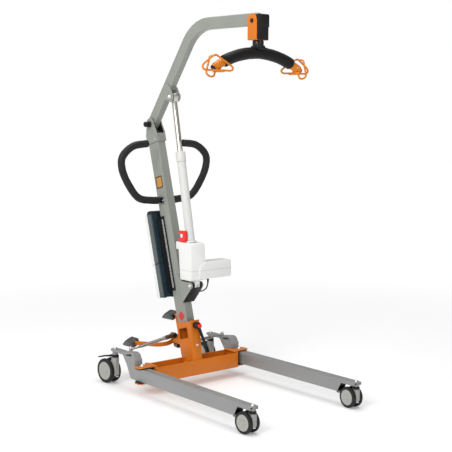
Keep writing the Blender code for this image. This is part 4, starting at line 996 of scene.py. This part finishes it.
def make_hub():
    """Swivel hub in the middle of the bar, with its two gussets."""
    hub = [(0.0198, 1.333), (0.0208, 1.3345), (0.0208, 1.3595), (0.0196, 1.3622), (0.0072, 1.3627),
        (0.007, 1.3672), (0.0108, 1.3676), (0.0108, 1.3728), (0.0096, 1.3738)]
    turned("hub_body", hub, Y * BAR_Y, Z, "spreader", "black_paint", None, "swivel_hub", 48)
    right_half = [(0.015, 1.344), (0.017, 1.337), (0.03, BAR_TOP + 0.0195),
        (0.015, BAR_TOP + 0.012)]
    saddle = [(-x, z) for x, z in reversed(right_half)] + right_half
    for y, word in ((-0.0215, "front"), (0.0185, "rear")):
        place = frame_of(X, Z, Y, Y * (BAR_Y + y))
        add("hub_gusset_" + word, slab(saddle, place, 0.003), "spreader", "black_paint",
            edges=(0.0008, 2))


def make_sling_bar():
    """Bent bar with its foam, hooks and swivel hub."""
    bm = sweep(bar_line(-FOAM_REACH, FOAM_REACH, 96), foam_section, Y)
    # The bar's foam takes the darker copy of the grip foam: painted shade.
    piece = add("bar_foam", bm, "spreader", "black_foam", BAR_FOAM_SHADED, "spreader_foam", 50.0)
    add("bar_tube", wire(bar_line(-0.2095, 0.2095, 60), 0.012, 28, Y), *HOOK, "spreader_frame")
    for side, word in SIDES:
        make_hook(side, word)
    turned("hook_rivet_left", [(0.003, 0.0), (0.003, 0.0005), (0.0, 0.0014)],
        Vector((0.187, BAR_Y - 0.0158, bar_point(0.19).z + 0.001)), -Y, "spreader", "zinc", DOME)
    make_hub()


# ---- pedal, tie rods and clamp ----
def make_pedal():
    """Pedal lever with its two ribbed pads and the cap on its shaft."""
    rock = joint_point("pedal_rock")
    place = Matrix.Translation(rock) @ Matrix.Rotation(radians(-24.0), 4, "Y")
    for side, word in SIDES:
        softened("pedal_pad_" + word, 0.0026, 3, PAD)
        bm = bmesh.new()
        for i in range(9):
            y = 0.226 + 0.0078 * i
            z = 0.0428 - 0.3 * max(0.0, y - 0.26) - 0.39 * max(0.0, y - 0.27)
            wire([place @ Vector((side * 0.112 + x, y - 0.094, z)) for x in (-0.0135, 0.0135)], 0.0012, 8,
                Y, bm)
        add("pad_ribs_" + word, bm, "pedal", "black_plastic", PAD)
    turned("pedal_cap", [(0.01, 0.1104), (0.0104, 0.111), (0.0104, 0.1138), (0.0092, 0.1147),
        (0.0, 0.115)], rock - Y * 0.094, Y, "base", "black_plastic", sides=32)


def make_tie_rod(side, word):
    """Tie rod: ball socket, lock nut, threaded rod and the eye on the leg's stud."""
    lean = radians(23.6)
    start = joint_point("pedal_rock") + Vector((side * 0.025 * sin(lean), 0.0, -side * 0.025 * cos(lean)))
    stud = joint_point("tie_rod_turn_" + word)
    axis = stud - start
    length = axis.length
    body = "tie_rod_" + word
    bm = lathe([(0.0062, 0.0085), (0.0088, 0.012), (0.0094, 0.016), (0.0094, 0.04), (0.0088, 0.044),
        (0.0074, 0.048), (0.0072, 0.051)], start, axis, 36)
    ring_lathe([(0.0079, -0.0072), (0.01, -0.0072), (0.0108, -0.0062), (0.0108, 0.0066),
        (0.01, 0.0078), (0.0079, 0.0078)], start, Y, 36, bm)
    add("ball_socket_" + word, bm, body, "zinc", OLIVE, body)
    turned("track_rod_" + word, [(0.0069, 0.05), (0.0069, length * 0.7), (0.0064, length * 0.74),
        (0.0034, length * 0.86),
        (0.003, length - 0.007)], start, axis, body, "zinc", threaded("track_thread_" + word,
        (0.55, 0.55, 0.52), axis), sides=28)
    eye = ring_lathe([(0.0044, -0.0034), (0.0076, -0.0034), (0.0082, -0.0026), (0.0082, 0.0026),
        (0.0076, 0.0034), (0.0044, 0.0034)], stud, Z, 32)
    add("rod_ring_" + word, eye, body, "zinc")
    turned("lock_nut_" + word, [(0.0092, 0.0512), (0.0092, 0.0562)], start, axis, body, "zinc", sides=6,
        angle=20.0)
    turned("socket_cap_" + word, [(0.0098, -0.0096), (0.0102, -0.0088), (0.0102, -0.0074)], start, Y,
        body, "black_plastic", sides=36)


def make_clamp():
    """Clamp lever at the foot of the mast and its push button."""
    spot = Vector((0.0, SHIFT - 0.056, joint_point("clamp_turn").z))
    turned("clamp_push_button", [(0.0078, 0.0), (0.008, 0.001), (0.008, 0.012), (0.0073, 0.0136),
        (0.0057, 0.0143),
        (0.0, 0.0143)], spot, -Y, "clamp_button", "red_plastic", None, "clamp_button", 36)


# ---- camera, floor and lights ----
def make_camera():
    """Camera at the photograph's place and angle, solved from the object's lines."""
    yaw, pitch, roll = (radians(a) for a in (39.7955, 6.3883, 0.384))
    data = bpy.data.cameras.new("camera")
    data.sensor_width = 36.0
    data.lens = 84.154
    cam = show(bpy.data.objects.new("camera", data))
    cam.matrix_world = (Matrix.Translation((-2.5921, -3.3371 + SHIFT, 1.1176)) @ Matrix.Rotation(-yaw, 4,
        "Z") @ Matrix.Rotation(pi / 2 - pitch, 4, "X") @ Matrix.Rotation(roll, 4, "Z"))
    bpy.context.scene.camera = cam


def area_light(name, place, target, size, power):
    """Soft rectangular light aimed at a point."""
    data = bpy.data.lights.new(name, "AREA")
    data.shape = "RECTANGLE"
    data.size, data.size_y = size
    data.energy = power
    lamp = show(bpy.data.objects.new(name, data))
    lamp.location = place
    lamp.rotation_mode = "QUATERNION"
    lamp.rotation_quaternion = (Vector(target) - Vector(place)).to_track_quat("-Z", "Y")


def make_floor():
    """White floor that turns into the white backdrop away from the lift."""
    bm = bmesh.new()
    reach = 14.0
    bm.faces.new([bm.verts.new((x * reach, y * reach, -0.0002)) for x,
        y in ((-1, -1), (1, -1), (1, 1), (-1, 1))])
    mesh = bpy.data.meshes.new("floor")
    bm.to_mesh(mesh)
    bm.free()
    g = Surface("floor_white", (0.84, 0.84, 0.84), 0.55, {GLOSS: 0.2, "Emission Color": WHITE})
    away = g.make("VectorMath", "Value", {0: g.coords}, operation="LENGTH")
    far = g.span(away, 0.9, 3.2)
    g.fill(g.shader, {"Base Color": g.mix(far, g.colour, BLACK), "Emission Strength": g.span(far, 0.0,
        1.0, 0.16, 1.0)})
    mesh.materials.append(g.mat)
    show(bpy.data.objects.new("floor", mesh))


def make_sky():
    """White backdrop for the camera; for the lift, a room that darkens towards +X."""
    world = bpy.data.worlds.new("studio")
    bpy.context.scene.world = world
    g = Graph(world)
    across = g.make("SeparateXYZ", "X", {0: g.make("TexCoord", "Generated")})
    sky = g.nodes["Background"]
    g.fill(sky, {"Color": g.span(across, -1.0, 1.0, 1.0, 0.28), "Strength": 0.8})
    backdrop = g.make("Background", 0, {"Color": WHITE})
    seen = g.make("LightPath", "Is Camera Ray")
    pick = g.make("MixShader", 0, {0: seen, 1: sky.outputs[0], 2: backdrop})
    g.fill(g.nodes["World Output"], {"Surface": pick})


def make_studio():
    """Floor, sky, lights and plain colour management."""
    make_floor()
    make_sky()
    view = bpy.context.scene.view_settings
    view.view_transform = "Standard"
    view.look = "None"
    area_light("key", (-3.0, -0.9, 2.6), (0, 0.1, 0.6), (1.6, 2.0), 62.0)
    area_light("fill", (0.8, -3.6, 2.2), (0, 0, 0.7), (1.8, 1.8), 16.0)
    area_light("edge", (-2.9, -2.3, 1.3), (0, 0, 0.9), (0.16, 2.4), 13.0)
    area_light("top", (0.3, 0.4, 3.6), (0, 0, 0.5), (2.6, 2.6), 60.0)


soften_plain_nodes()
make_castors()
for leg_side, leg_word in SIDES:
    make_leg(leg_side, leg_word)
    make_leg_pivot(leg_side, leg_word)
make_base()
make_mast()
make_bracket()
make_boom_knob()
make_handle()
make_box()
make_motor()
make_ram()
make_cable()
make_boom()
make_sling_bar()
make_pedal()
for rod_side, rod_word in SIDES:
    make_tie_rod(rod_side, rod_word)
make_clamp()
make_camera()
make_studio()
